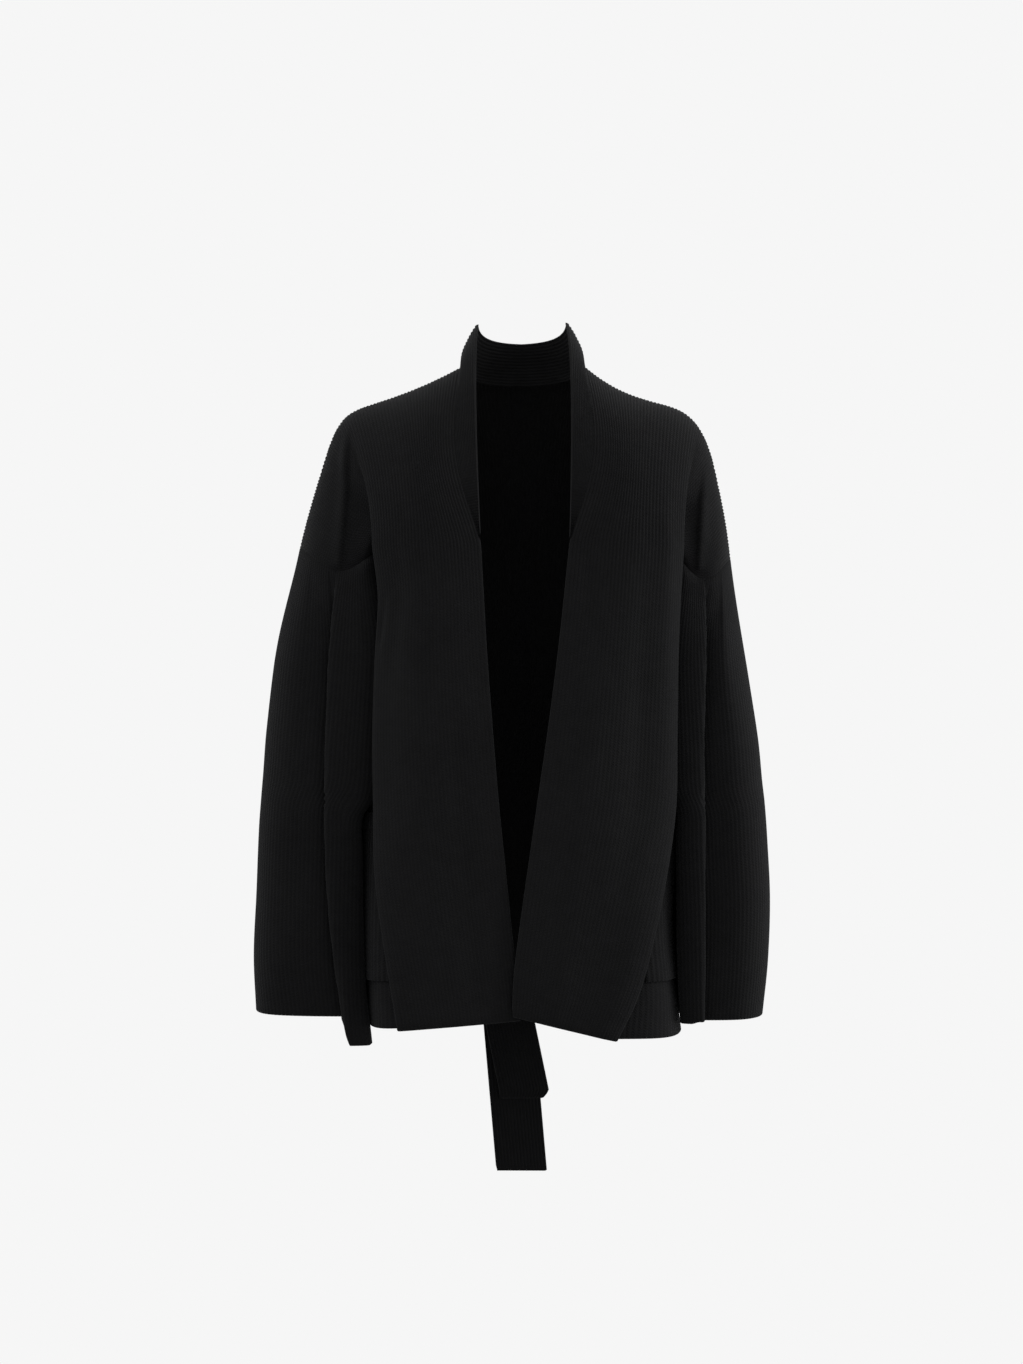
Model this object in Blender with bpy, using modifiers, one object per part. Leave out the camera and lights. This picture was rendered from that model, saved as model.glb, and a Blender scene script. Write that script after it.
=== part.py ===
# Open-front rib-knit cardigan with dropped shoulders, a stand-up neckband,
# patch pockets and a belt tied behind.  It is filled out as when worn, and
# hollow.  Metres, +Z up.  The fronts face -Y, the wearer's left is +X.
# The origin is the centre of the neck at the height of the shoulder's neck point.
import bpy
import bmesh
import numpy as np
from math import pi

# ---------------------------------------------------------------- sizes
WALL = 0.003             # knit, thickness
GAP = 0.0003             # between two pieces at a seam
UNDERARM_Z = -0.200      # height of the underarm point
CHEST_Y = 0.010          # the shoulder seam lies this far behind the neck's centre
CAP_BULGE = 0.066        # the dropped shoulder stands this far forward round the arm
CAP_DIP = 0.026          # the armhole seam hangs lower at the front of the arm
VALLEY = 0.004           # hollow between chest and arm, from the shoulder tip down
NECK_BOW = 0.0212        # outward bow of the neck seam between shoulder and chest
BACK_NECK_Y = 0.076      # back neck seam, behind the neck's centre
BACK_NECK_Z = -0.014     # and below it
BAND_RISE = 0.047        # the neckband stands this high at the neck's side
BAND_IN = 0.0165         # and leans this far inward
LAYER_1 = 0.011          # drape fold: front layer to the layer folded under it
LAYER_2 = 0.013          # and from there to the side part
POCKET_TOP = -0.483
POCKET_BOTTOM = -0.670
POCKET_GAPE = 0.003      # its mouth stands open by this much
BELT_W = 0.056           # belt, width
BELT_T = 0.0028          # belt, thickness
WAIST_Z = -0.395         # height of the belt at the back
NECK_SHARE = 0.185       # share of half of the back that lies under the neck
KNOT_U = 0.115           # the knot lies this far to the right on the back
KNOT = (-0.0380, 0.1370, -0.395)
KNOT_SIZE = (0.0530, 0.0260, 0.0640)

# Rows from the shoulder seam (0) to the underarm (1), shared by every piece at the armhole,
# and columns of the shoulder seam from the neck (0) to the armhole (1).
CAP_ROWS = (0.0, 0.15, 0.30, 0.45, 0.60, 0.75, 0.89, 1.0)
SEAM_COLUMNS = np.linspace(0.0, 1.0, 10)

COLOUR = (0.0085, 0.0085, 0.0090, 1.0)
COLOUR_BAND = (0.0095, 0.0095, 0.0100, 1.0)

# Half sections of each front below the underarm, outward from the centre.
# edge: the front edge.  ridge: the fold that hangs from the shoulder tip.
# fold: how deep the cloth is folded under that ridge.  side: the side seam.
FRONT_COLUMNS = ("z", "edge_x", "edge_y", "mid_y", "ridge_x", "ridge_y", "fold", "side_x")
FRONT = {
    "R": (
        (-0.200, 0.0450, -0.104, -0.113, 0.159, -0.080, 0.030, 0.151),
        (-0.255, 0.0420, -0.107, -0.116, 0.153, -0.081, 0.040, 0.155),
        (-0.310, 0.0390, -0.110, -0.119, 0.156, -0.082, 0.051, 0.159),
        (-0.400, 0.0325, -0.114, -0.122, 0.159, -0.086, 0.064, 0.164),
        (-0.480, 0.0260, -0.116, -0.124, 0.158, -0.092, 0.072, 0.169),
        (-0.550, 0.0190, -0.117, -0.126, 0.156, -0.106, 0.074, 0.171),
        (-0.620, 0.0120, -0.118, -0.127, 0.147, -0.118, 0.072, 0.171),
        (-0.680, 0.0050, -0.118, -0.127, 0.137, -0.124, 0.068, 0.170),
        (-0.716, 0.0020, -0.118, -0.127, 0.131, -0.127, 0.066, 0.168),
    ),
    "L": (
        (-0.200, 0.0510, -0.106, -0.114, 0.1715, -0.080, 0.030, 0.162),
        (-0.300, 0.0410, -0.114, -0.121, 0.1665, -0.082, 0.050, 0.164),
        (-0.400, 0.0290, -0.119, -0.126, 0.1645, -0.086, 0.064, 0.166),
        (-0.480, 0.0180, -0.122, -0.129, 0.1630, -0.092, 0.072, 0.169),
        (-0.550, 0.0085, -0.124, -0.131, 0.153, -0.108, 0.070, 0.163),
        (-0.620, -0.0010, -0.126, -0.132, 0.138, -0.122, 0.064, 0.161),
        (-0.680, -0.0080, -0.127, -0.133, 0.121, -0.129, 0.056, 0.168),
        (-0.726, -0.0100, -0.127, -0.133, 0.099, -0.131, 0.050, 0.174),
    ),
}
# The hem: its height at the front edge, at the ridge and at the side seam.
HEM = {"R": (-0.7055, -0.7160, -0.7190), "L": (-0.7005, -0.7265, -0.7275)}

# The shoulder line from the neck point out to the dropped armhole, one row for
# each guide of the sections above: distance out from the centre, height.
SHOULDER = {
    "R": ((0.0655, 0.000), (0.092, -0.0145), (0.132, -0.0315), (0.168, -0.0425),
          (0.190, -0.0505), (0.203, -0.0660), (0.212, -0.0880), (0.2195, -0.112),
          (0.229, -0.1440), (0.238, -0.1760), (0.2435, -0.2000)),
    "L": ((0.0660, 0.002), (0.092, -0.0205), (0.132, -0.0372), (0.168, -0.0440),
          (0.188, -0.0570), (0.200, -0.0760), (0.2075, -0.096), (0.213, -0.118),
          (0.219, -0.1480), (0.225, -0.1800), (0.2283, -0.2120)),
}

# Sleeve sections.  outer, inner: its two sides.  ridge: the edge of its front
# fold.  lap: how far its front reaches towards the body.  front, back: how far it
# reaches in Y.  crease: strength of the fold.  tuck: how far it reaches in behind
# the body's side.
SLEEVE_COLUMNS = ("z", "outer", "ridge", "inner", "lap", "tuck", "front", "back", "crease")
SLEEVE = {
    "R": (
        (-0.200, 0.2440, 0.2000, 0.1570, 0.150, 0.146, -0.060, 0.066, 0.4),
        (-0.300, 0.2640, 0.2025, 0.1660, 0.149, 0.152, -0.064, 0.068, 0.7),
        (-0.400, 0.2765, 0.2055, 0.1735, 0.153, 0.157, -0.064, 0.071, 0.8),
        (-0.450, 0.2803, 0.2066, 0.1875, 0.162, 0.159, -0.064, 0.072, 0.8),
        (-0.473, 0.2822, 0.2067, 0.1925, 0.177, 0.159, -0.065, 0.073, 0.8),
        (-0.510, 0.2848, 0.2062, 0.1925, 0.177, 0.159, -0.065, 0.074, 0.8),
        (-0.580, 0.2875, 0.2030, 0.1870, 0.176, 0.159, -0.064, 0.074, 0.8),
        (-0.650, 0.2905, 0.1960, 0.1835, 0.1735, 0.160, -0.062, 0.073, 0.8),
        (-0.710, 0.2880, 0.1880, 0.1765, 0.167, 0.161, -0.056, 0.072, 0.8),
    ),
    "L": (
        (-0.200, 0.2285, 0.1970, 0.1680, 0.160, 0.157, -0.060, 0.066, 0.4),
        (-0.300, 0.2400, 0.1920, 0.1710, 0.157, 0.158, -0.064, 0.068, 0.8),
        (-0.400, 0.2545, 0.1895, 0.1760, 0.157, 0.159, -0.064, 0.071, 0.9),
        (-0.450, 0.2591, 0.1901, 0.1860, 0.162, 0.160, -0.064, 0.072, 0.9),
        (-0.473, 0.2617, 0.1905, 0.1900, 0.172, 0.160, -0.066, 0.073, 0.9),
        (-0.510, 0.2645, 0.1905, 0.1895, 0.172, 0.160, -0.066, 0.073, 0.9),
        (-0.580, 0.2680, 0.1905, 0.1860, 0.172, 0.160, -0.066, 0.074, 0.9),
        (-0.650, 0.2660, 0.1905, 0.1845, 0.173, 0.160, -0.063, 0.073, 0.9),
        (-0.710, 0.2600, 0.1900, 0.1845, 0.176, 0.161, -0.060, 0.072, 0.9),
    ),
}
SLEEVE_HEM = {"R": (-0.705, 0.030), "L": (-0.709, 0.002)}  # height, extra length inside

# Soft vertical folds of the back below the shoulder blades:
# place across the back (-1 to 1), width, depth at the hem, height where it starts.
BACK_FOLDS = (
    (-0.66, 0.11, 0.016, -0.10),
    (-0.36, 0.09, -0.012, -0.22),
    (-0.10, 0.08, 0.009, -0.30),
    (0.16, 0.09, -0.010, -0.26),
    (0.42, 0.10, 0.013, -0.20),
    (0.70, 0.11, 0.015, -0.12),
)

# The two hanging belt ends, from the knot down: x, y, z, width, turn about the vertical.
END_LONG = (
    (-0.0405, 0.1410, -0.4276, 0.050, 0.00),
    (-0.0350, 0.1500, -0.520, 0.054, 0.03),
    (-0.0250, 0.1545, -0.630, 0.056, 0.05),
    (-0.0150, 0.1560, -0.735, 0.056, 0.03),
    (0.0000, 0.1550, -0.9065, 0.056, -0.02),
)
END_SHORT = (
    (-0.0400, 0.1345, -0.4276, 0.050, 0.00),
    (-0.0380, 0.1425, -0.520, 0.053, -0.02),
    (-0.0290, 0.1475, -0.630, 0.055, -0.04),
    (-0.0135, 0.1485, -0.735, 0.055, -0.03),
    (0.0030, 0.1480, -0.8150, 0.055, 0.00),
    (0.0002, 0.1480, -0.8225, 0.048, 0.00),
)


# ---------------------------------------------------------------- curves
def basis(n, t):
    """Weights of n clamped cubic B-spline controls at parameters t in 0..1."""
    knots = np.concatenate([[0, 0, 0], np.linspace(0, 1, n - 2), [1, 1, 1]])
    t = np.clip(np.asarray(t, float), 0, 1)
    span = np.minimum(np.searchsorted(knots, t, side="right") - 1, n - 1)
    w = np.zeros((len(t), n + 3))
    w[np.arange(len(t)), span] = 1.0
    for degree in (1, 2, 3):
        new = np.zeros_like(w)
        for i in range(n + 3 - degree):
            a, b = knots[i], knots[i + degree]
            if b > a:
                new[:, i] += (t - a) / (b - a) * w[:, i]
            if i + 1 + degree < len(knots):
                a, b = knots[i + 1], knots[i + 1 + degree]
                if b > a:
                    new[:, i] += (b - t) / (b - a) * w[:, i + 1]
        w = new
    return w[:, :n]


FINE = np.linspace(0, 1, 481)
FINE_BASIS = basis(11, FINE)
RIDGE_AT = 0.46          # share of the panel's width from its front edge to the ridge
RIDGE_T = 0.405          # the same place on the guide curve


def by_length(controls, s):
    """A curve through eleven guides, spaced by length: the ridge stays at RIDGE_AT."""
    curve = FINE_BASIS @ np.asarray(controls, float)
    run = np.concatenate([[0], np.cumsum(np.linalg.norm(np.diff(curve, axis=0), axis=1))])
    ridge = np.interp(RIDGE_T, FINE, run)
    s = np.asarray(s, float)
    want = np.where(s < RIDGE_AT, ridge * s / RIDGE_AT,
                    ridge + (run[-1] - ridge) * (s - RIDGE_AT) / (1 - RIDGE_AT))
    return np.column_stack([np.interp(want, run, curve[:, k]) for k in range(curve.shape[1])])


def closed_bspline(controls, t):
    """Periodic cubic B-spline, t in 0..1 once round."""
    c = np.asarray(controls, float)
    n = len(c)
    u = (np.asarray(t, float) % 1.0) * n
    i = np.floor(u).astype(int)
    f = (u - i)[:, None]
    w = ((1 - f) ** 3 / 6, (3 * f ** 3 - 6 * f ** 2 + 4) / 6,
         (-3 * f ** 3 + 3 * f ** 2 + 3 * f + 1) / 6, f ** 3 / 6)
    return sum(w[k] * c[(i + k - 1) % n] for k in range(4))


def table_at(rows, z):
    """A table's columns at height z, smooth between its rows."""
    rows = np.asarray(rows, float)
    zs = rows[:, 0]
    z = float(np.clip(z, zs[-1], zs[0]))
    i = int(np.clip(np.searchsorted(-zs, -z, side="right") - 1, 0, len(zs) - 2))
    h = zs[i + 1] - zs[i]
    f = (z - zs[i]) / h

    def slope(k):
        if k == 0:
            return (rows[1] - rows[0]) / (zs[1] - zs[0])
        if k == len(zs) - 1:
            return (rows[-1] - rows[-2]) / (zs[-1] - zs[-2])
        return (rows[k + 1] - rows[k - 1]) / (zs[k + 1] - zs[k - 1])

    a, b = slope(i) * h, slope(i + 1) * h
    return ((2 * f ** 3 - 3 * f ** 2 + 1) * rows[i] + (f ** 3 - 2 * f ** 2 + f) * a
            + (-2 * f ** 3 + 3 * f ** 2) * rows[i + 1] + (f ** 3 - f ** 2) * b)


def on_chords(curve, knots, at):
    """Points on the straight chords of a curve between its points at the knots."""
    p = curve(np.asarray(knots, float))
    return np.column_stack([np.interp(at, knots, p[:, k]) for k in range(p.shape[1])])


def smooth(a, b, x):
    """0 below a, 1 above b, soft between."""
    f = np.clip((np.asarray(x, float) - a) / (b - a), 0, 1)
    return f * f * (3 - 2 * f)


def sign(side):
    return -1.0 if side == "R" else 1.0


# ---------------------------------------------------------------- fronts
def front_section(side, z, s):
    """Plan of a front at height z: x outward, y, for s from front edge to side seam."""
    _, ex, ey, my, rx, ry, fold, sx = table_at(FRONT[side], z)
    vx = rx - fold
    low = float(smooth(0.40, 0.49, -z))       # lower down the side lies closer and faces forward
    turn = 0.25 + 0.37 * low
    layers = LAYER_1 + LAYER_2 + 0.012 * (1 - low)
    c = (
        (ex, ey),
        (ex + 0.35 * (rx - ex), my),
        (ex + 0.70 * (rx - ex), 0.8 * my + 0.2 * ry),
        (rx - 0.012, 0.4 * my + 0.6 * ry),
        (rx + 0.003, ry + 0.002),
        (rx + 0.001, ry + LAYER_1),
        (vx, ry + LAYER_1 + 0.001),
        (vx, ry + layers),
        (vx + 0.62 * (sx - vx), ry + layers + 0.004),
        (sx - 0.002, turn * ry),
        (sx, CHEST_Y),
    )
    return by_length(c, s)


def shoulder_line(side, s):
    """x outward and z of the shoulder line for the same s."""
    return by_length(SHOULDER[side], s)


def cap_weight(s):
    return smooth(0.45, 1.0, s)


def upper(side, s, tau, section, forward):
    """From the shoulder line (tau 0) to the underarm level (tau 1)."""
    s = np.asarray(s, float)
    tau = np.asarray(tau, float)
    top = shoulder_line(side, s)
    fx = (1 - np.cos(pi * tau)) / 2
    fy = np.sin(pi * tau / 2)
    fz = 1 - np.cos(pi * tau / 2)
    w = cap_weight(s)
    fy = fy + (tau ** 3 - fy) * w
    x = top[:, 0] + (section[:, 0] - top[:, 0]) * fx
    y = (CHEST_Y + (section[:, 1] - CHEST_Y) * fy
         - forward * CAP_BULGE * w * np.sin(pi / 2 * np.minimum(tau / 0.45, 1))
         * np.cos(pi / 2 * np.maximum((tau - 0.68) / 0.32, 0)))
    valley = np.exp(-((s - 0.66) / 0.095) ** 2) * np.sin(pi * np.minimum(1.0, tau * 1.02)) ** 0.7
    y = y + forward * VALLEY * valley
    z = top[:, 1] + (UNDERARM_Z - top[:, 1]) * fz
    z = z - CAP_DIP * w * np.sin(pi * tau) ** 3
    if forward > 0:
        bow = np.maximum(np.sin(pi * tau ** 1.7), 0) ** 1.3
        x = x + NECK_BOW * (1 - smooth(0.0, 0.30, s)) * bow
    return np.stack([x, y, z], 1)


def front_grid(side, s, taus, levels):
    """Rows from the shoulder to the hem, columns from front edge to side seam."""
    rows = []
    section = front_section(side, UNDERARM_Z, s)
    for tau in taus:
        rows.append(upper(side, s, tau, section, 1.0))
    seam = on_chords(lambda v: shoulder_line(side, v), SEAM_COLUMNS, s)
    rows[0] = np.column_stack([seam[:, 0], np.full(len(s), CHEST_Y), seam[:, 1]])
    end = FRONT[side][-1][0]
    last = front_section(side, end, s)[:, 0]
    _, ex, _, _, rx, _, _, sx = FRONT[side][-1]
    hem = np.interp(last, (ex, rx, sx), HEM[side])
    for f in levels:
        z = UNDERARM_Z + f * (end - UNDERARM_Z)
        plan = front_section(side, z, s)
        rows.append(np.column_stack([plan, UNDERARM_Z + f * (hem - UNDERARM_Z)]))
    g = np.array(rows)
    g[:, :, 0] *= sign(side)
    return g


# ---------------------------------------------------------------- back
def back_section(side, z, s):
    """Plan of half of the back: from below the neck point (s 0) to the side seam (s 1)."""
    sx = table_at(FRONT[side], z)[7]
    deep = 0.106 + 0.020 * float(smooth(0.15, 0.75, -z))
    c = (
        (0.062, deep + 0.003), (0.082, deep + 0.002), (0.104, deep - 0.003),
        (0.122, deep - 0.010), (sx - 0.031, deep - 0.022), (sx - 0.021, deep - 0.036),
        (sx - 0.015, 0.060), (sx - 0.011, 0.045), (sx - 0.007, 0.034),
        (sx - 0.002, 0.020), (sx, CHEST_Y + 0.0005),
    )
    return by_length(c, s)


def neck_back(side, k):
    """The back neck seam: k 1 at the shoulder's neck point, 0 at the back's centre."""
    x, z = SHOULDER[side][0]
    k = np.asarray(k, float)
    return np.stack([x * np.sin(k * pi / 2),
                     CHEST_Y + (BACK_NECK_Y - CHEST_Y) * np.cos(k * pi / 2),
                     z * k + BACK_NECK_Z * (1 - k ** 3)], 1)


def back_row(side, a, kind, f):
    """One row of half of the back, for a from the centre (0) to the side (1)."""
    s = np.clip((a - NECK_SHARE) / (1 - NECK_SHARE), 0, 1)
    k = np.clip(a / NECK_SHARE, 0, 1)
    inner = a < NECK_SHARE
    z = UNDERARM_Z if kind == "cap" else UNDERARM_Z + f * (HEM[side][2] - UNDERARM_Z)
    sec = back_section(side, z, s)
    plan = np.column_stack([np.where(inner, sec[:, 0] * k, sec[:, 0]),
                            sec[:, 1] + np.where(inner, 0.004 * (1 - k * k), 0.0)])
    if kind == "cap":
        neck = neck_back(side, k)
        m = k * k                 # the cloth drops more steeply at the centre of the neck
        fy = m * np.sin(pi * f / 2) + (1 - m) * f ** 0.75
        fz = m * (1 - np.cos(pi * f / 2)) + (1 - m) * (0.4 * f + 0.6 * (1 - np.cos(pi * f / 2)))
        low = np.column_stack([
            neck[:, 0] + (plan[:, 0] - neck[:, 0]) * (1 - np.cos(pi * f)) / 2,
            neck[:, 1] + (plan[:, 1] - neck[:, 1]) * fy,
            neck[:, 2] + (UNDERARM_Z - neck[:, 2]) * fz])
        p = np.where(inner[:, None], low, upper(side, s, f, plan, -1.0))
    else:
        p = np.column_stack([plan, np.full(len(a), z)])
    return p


def back_grid(u, taus, levels):
    """u runs from the right armhole (-1) over the back's centre (0) to the left (1)."""
    u = np.asarray(u, float)
    out = []
    for kind, f in [("cap", t) for t in taus] + [("body", v) for v in levels]:
        right = back_row("R", np.abs(u), kind, f)
        left = back_row("L", np.abs(u), kind, f)
        mix = smooth(-0.06, 0.06, u)[:, None]     # the two halves meet softly
        both = right * (1 - mix) + left * mix
        both[:, 0] = np.where(u < 0, -1, 1) * np.where(u < 0, right[:, 0], left[:, 0])
        for place, width, depth, start in BACK_FOLDS:
            w = np.exp(-((u - place) / width) ** 2)
            g = smooth(-start, 0.72, -both[:, 2]) * smooth(1.0, 0.88, np.abs(u))
            both[:, 1] += depth * w * g
        out.append(both)
    return np.array(out)


# ---------------------------------------------------------------- sleeves
def armhole(side, tau, forward):
    """The armhole seam from the arm's outside (0) to the underarm (1)."""
    sec = front_section(side, UNDERARM_Z, [1.0])
    return upper(side, [1.0], np.asarray(tau, float), sec, forward)


def sleeve_section(side, z, phi):
    """Closed plan, phi 0 at the outside, forward round to the inside at 0.5."""
    _, ox, rx, ix, lap, tuck, fy, by, k = table_at(SLEEVE[side], z)
    mid = 0.5 * (ox + ix)
    c = (
        (ox + 0.004, -0.006), (ox - 0.001, fy * 0.60), (ox - 0.017, fy * 0.93),
        (0.52 * ox + 0.48 * rx, fy * 0.99), (rx + 0.015, fy + 0.004 * k),
        (rx - 0.013 * k, fy + 0.011 * k), (rx - 0.013 * k, fy + 0.003 * k + 0.002),
        (rx + 0.009, fy - 0.004), (rx + 0.004, fy - 0.011 * k),
        (lap - 0.006 - 0.45 * (ix - lap), fy + 0.001), (0.5 * (lap + ix) - 0.001, fy + 0.021),
        (ix, 0.000), (ix - 0.3 * (ix - tuck), 0.030), (tuck, 0.057),
        (tuck + 0.014, by * 1.02), (mid + 0.010, by * 1.10), (ox - 0.020, by * 0.98),
        (ox + 0.001, by * 0.52),
    )
    t = np.linspace(0, 1, 721)
    curve = closed_bspline(c, t)
    run = np.concatenate([[0], np.cumsum(np.linalg.norm(np.diff(curve, axis=0), axis=1))])
    half = np.interp(11 / 18, t, run)
    phi = np.asarray(phi, float)
    want = np.where(phi < 0.5, half * phi * 2, half + (run[-1] - half) * (phi * 2 - 1))
    return np.column_stack([np.interp(want, run, curve[:, 0]), np.interp(want, run, curve[:, 1])])


def sleeve_grid(side, phi, levels, ease=0.0048, drop=0.0026, knots=CAP_ROWS):
    """Rows from the armhole to the cuff, columns once round."""
    phi = np.asarray(phi, float)
    front = phi <= 0.5
    tau = np.where(front, phi * 2, 2 - phi * 2)
    ring = np.where(front[:, None],
                    on_chords(lambda v: armhole(side, v, 1.0), knots, tau),
                    on_chords(lambda v: armhole(side, v, -1.0), knots, tau))
    inner = smooth(0.5, 1.0, tau)
    ring = ring + np.stack([ease * inner, 0.0 * inner, -drop - 0.2 * ease * inner], 1)
    hem_z, extra = SLEEVE_HEM[side]
    inside = smooth(0.326, 0.346, phi) * (1 - smooth(0.385, 0.50, phi))
    hem = hem_z - extra * inside - 0.004 * np.sin(pi * phi)
    top = sleeve_section(side, UNDERARM_Z, phi)
    rows = []
    for f in levels:
        z = ring[:, 2] + f * (hem - ring[:, 2])
        zn = UNDERARM_Z + f * (SLEEVE[side][-1][0] - UNDERARM_Z)
        w = 1 - smooth(0.0, 1.0, f / (0.26 - 0.14 * inner))
        plan = sleeve_section(side, zn, phi) + (ring[:, :2] - top) * w[:, None]
        rows.append(np.column_stack([plan, z]))
    g = np.array(rows)
    g[:, :, 0] *= sign(side)
    return g


# ---------------------------------------------------------------- neckband
def band_rows(side, taus, ks, r):
    """Half of the neckband, outward: rows up the front (taus), then round the back
    neck (ks); columns r from the seam (0) to the free edge (1)."""
    sec = front_section(side, UNDERARM_Z, [0.0])
    edge = FRONT[side][0][1]
    out = []
    r = np.asarray(r, float)
    for kind, v in [("front", t) for t in taus] + [("back", k) for k in ks]:
        if kind == "front":
            a = upper(side, [0.0], v, sec, 1.0)[0]
            lean = 0.049 + 0.0035 * np.sin(pi * v) + (edge - 0.049) * v
            end = 1 - 0.75 * float(smooth(0.80, 0.97, v))      # it runs out into the front edge
            b = np.array([min(lean, a[0] - 0.004 * end),
                          a[1] + (-0.004 + 0.006 * smooth(0.0, 0.6, v)) * end,
                          a[2] + BAND_RISE * (1 - v) ** 1.6])
            flat = float(smooth(0.0, 0.7, v))
        else:
            a = neck_back(side, [v])[0]
            b = np.array([(SHOULDER[side][0][0] - BAND_IN) * np.sin(v * pi / 2),
                          CHEST_Y - 0.004 * v + (BACK_NECK_Y - 0.012 - CHEST_Y) * np.cos(v * pi / 2),
                          a[2] + BAND_RISE - 0.002 * (1 - v)])
            flat = 0.0
        lean = r ** (2.2 - 1.2 * flat)
        row = a + np.column_stack([lean, lean, r]) * (b - a)
        row[:, 0] += 0.0012 * np.sin(pi * np.minimum(1.0, r * 1.6)) * (1 - flat)
        out.append(row)
    return np.array(out)


def band_grid(taus, ks, r):
    """The whole neckband: right front, back neck, left front."""
    right = band_rows("R", taus[::-1], ks[::-1][1:], r)
    left = band_rows("L", taus[::-1], ks[::-1][1:], r)
    right[:, :, 0] *= -1
    middle = 0.5 * (right[-1] + left[-1])
    middle[:, 0] = 0.0
    return np.concatenate([right[:-1], middle[None], left[:-1][::-1]])


# ---------------------------------------------------------------- meshes
def pull_back(g, axis, start, amount):
    """Move one edge of a grid inward along the cloth, by one amount or one for each point."""
    g = g.copy()
    i, j = (0, 1) if start else (-1, -2)
    amount = np.asarray(amount, float)
    amount = amount[:, None] if amount.ndim else amount
    if axis == 0:
        d = g[j] - g[i]
        g[i] = g[i] + d / np.linalg.norm(d, axis=1)[:, None] * amount
    else:
        d = g[:, j] - g[:, i]
        g[:, i] = g[:, i] + d / np.linalg.norm(d, axis=1)[:, None] * amount
    return g


def shoulder_gap(s):
    """Half the gap at the shoulder seam; wider where the two panels meet at an angle."""
    return GAP / 2 + 0.0003 + 0.0010 * smooth(0.45, 0.75, s)


def grid_normals(g):
    n = np.cross(np.gradient(g, axis=1), np.gradient(g, axis=0))
    return n / np.linalg.norm(n, axis=2)[:, :, None]


def cloth(name, g, collection, colour, closed=False, flip=False, wall=WALL):
    """A panel of cloth: a lofted sheet with a Solidify wall."""
    rows, cols = g.shape[:2]
    mesh = bpy.data.meshes.new(name)
    bm = bmesh.new()
    verts = [[bm.verts.new(tuple(p)) for p in row] for row in g]
    last = cols if closed else cols - 1
    for i in range(rows - 1):
        for j in range(last):
            k = (j + 1) % cols
            quad = [verts[i][j], verts[i + 1][j], verts[i + 1][k], verts[i][k]]
            bm.faces.new(quad[::-1] if flip else quad)
    bm.to_mesh(mesh)
    bm.free()
    obj = bpy.data.objects.new(name, mesh)
    collection.objects.link(obj)
    mesh.shade_smooth()
    solid = obj.modifiers.new("wall", "SOLIDIFY")
    solid.thickness = wall
    solid.offset = 0.0
    solid.use_rim = True
    obj.modifiers.new("triangles", "TRIANGULATE")
    paint(obj, colour)
    return obj


def paint(obj, colour):
    material = bpy.data.materials.new(obj.name + "_knit")
    material.use_nodes = True
    shader = material.node_tree.nodes["Principled BSDF"]
    shader.inputs["Base Color"].default_value = colour
    shader.inputs["Roughness"].default_value = 0.9
    shader.inputs["Metallic"].default_value = 0.0
    obj.data.materials.append(material)


# ---------------------------------------------------------------- pockets
def pocket_from(front, side, first_row, last_row, first_col, last_col):
    """A patch pocket made from the points of the front that carries it, moved out."""
    n = grid_normals(front) * (-1 if side == "L" else 1)
    g = front[first_row:last_row + 1, first_col:last_col + 1].copy()
    n = n[first_row:last_row + 1, first_col:last_col + 1]
    out = WALL + GAP + 0.0005
    down = (g[0, -1, 2] - g[:, -1, 2])[:, None]
    across = np.linspace(0, 1, g.shape[1])[None, :]
    gape = POCKET_GAPE * (1 - smooth(0.0, 0.075, down)) * smooth(0.35, 0.85, across)
    return g + n * (out + gape)[:, :, None]


# ---------------------------------------------------------------- belt
def on_back(back, u_columns, u, z, out):
    """Points on the outside of the back panel, at places u across it and a height."""
    n = grid_normals(back)
    pts = []
    for ui in u:
        col = np.array([[np.interp(ui, u_columns, back[i, :, k]) for k in range(3)]
                        for i in range(len(back))])
        nor = np.array([[np.interp(ui, u_columns, n[i, :, k]) for k in range(3)]
                        for i in range(len(back))])
        order = np.argsort(col[:, 2])
        p = np.array([np.interp(z, col[order, 2], col[order, k]) for k in range(3)])
        q = np.array([np.interp(z, col[order, 2], nor[order, k]) for k in range(3)])
        q[2] = 0
        q /= np.linalg.norm(q)
        if q[1] < 0:
            q = -q
        pts.append(p + q * out)
    return np.array(pts)


def hanging(path, widths, lean):
    """A belt end: rows down its path, four columns across, turned a little about the vertical."""
    rows = []
    for (x, y, z), w, turn in zip(path, widths, lean):
        across = np.array([np.cos(turn), np.sin(turn), 0.0])
        rows.append([np.array([x, y, z]) + across * w * k for k in (-0.5, -0.18, 0.18, 0.5)])
    return np.array(rows)


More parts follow.
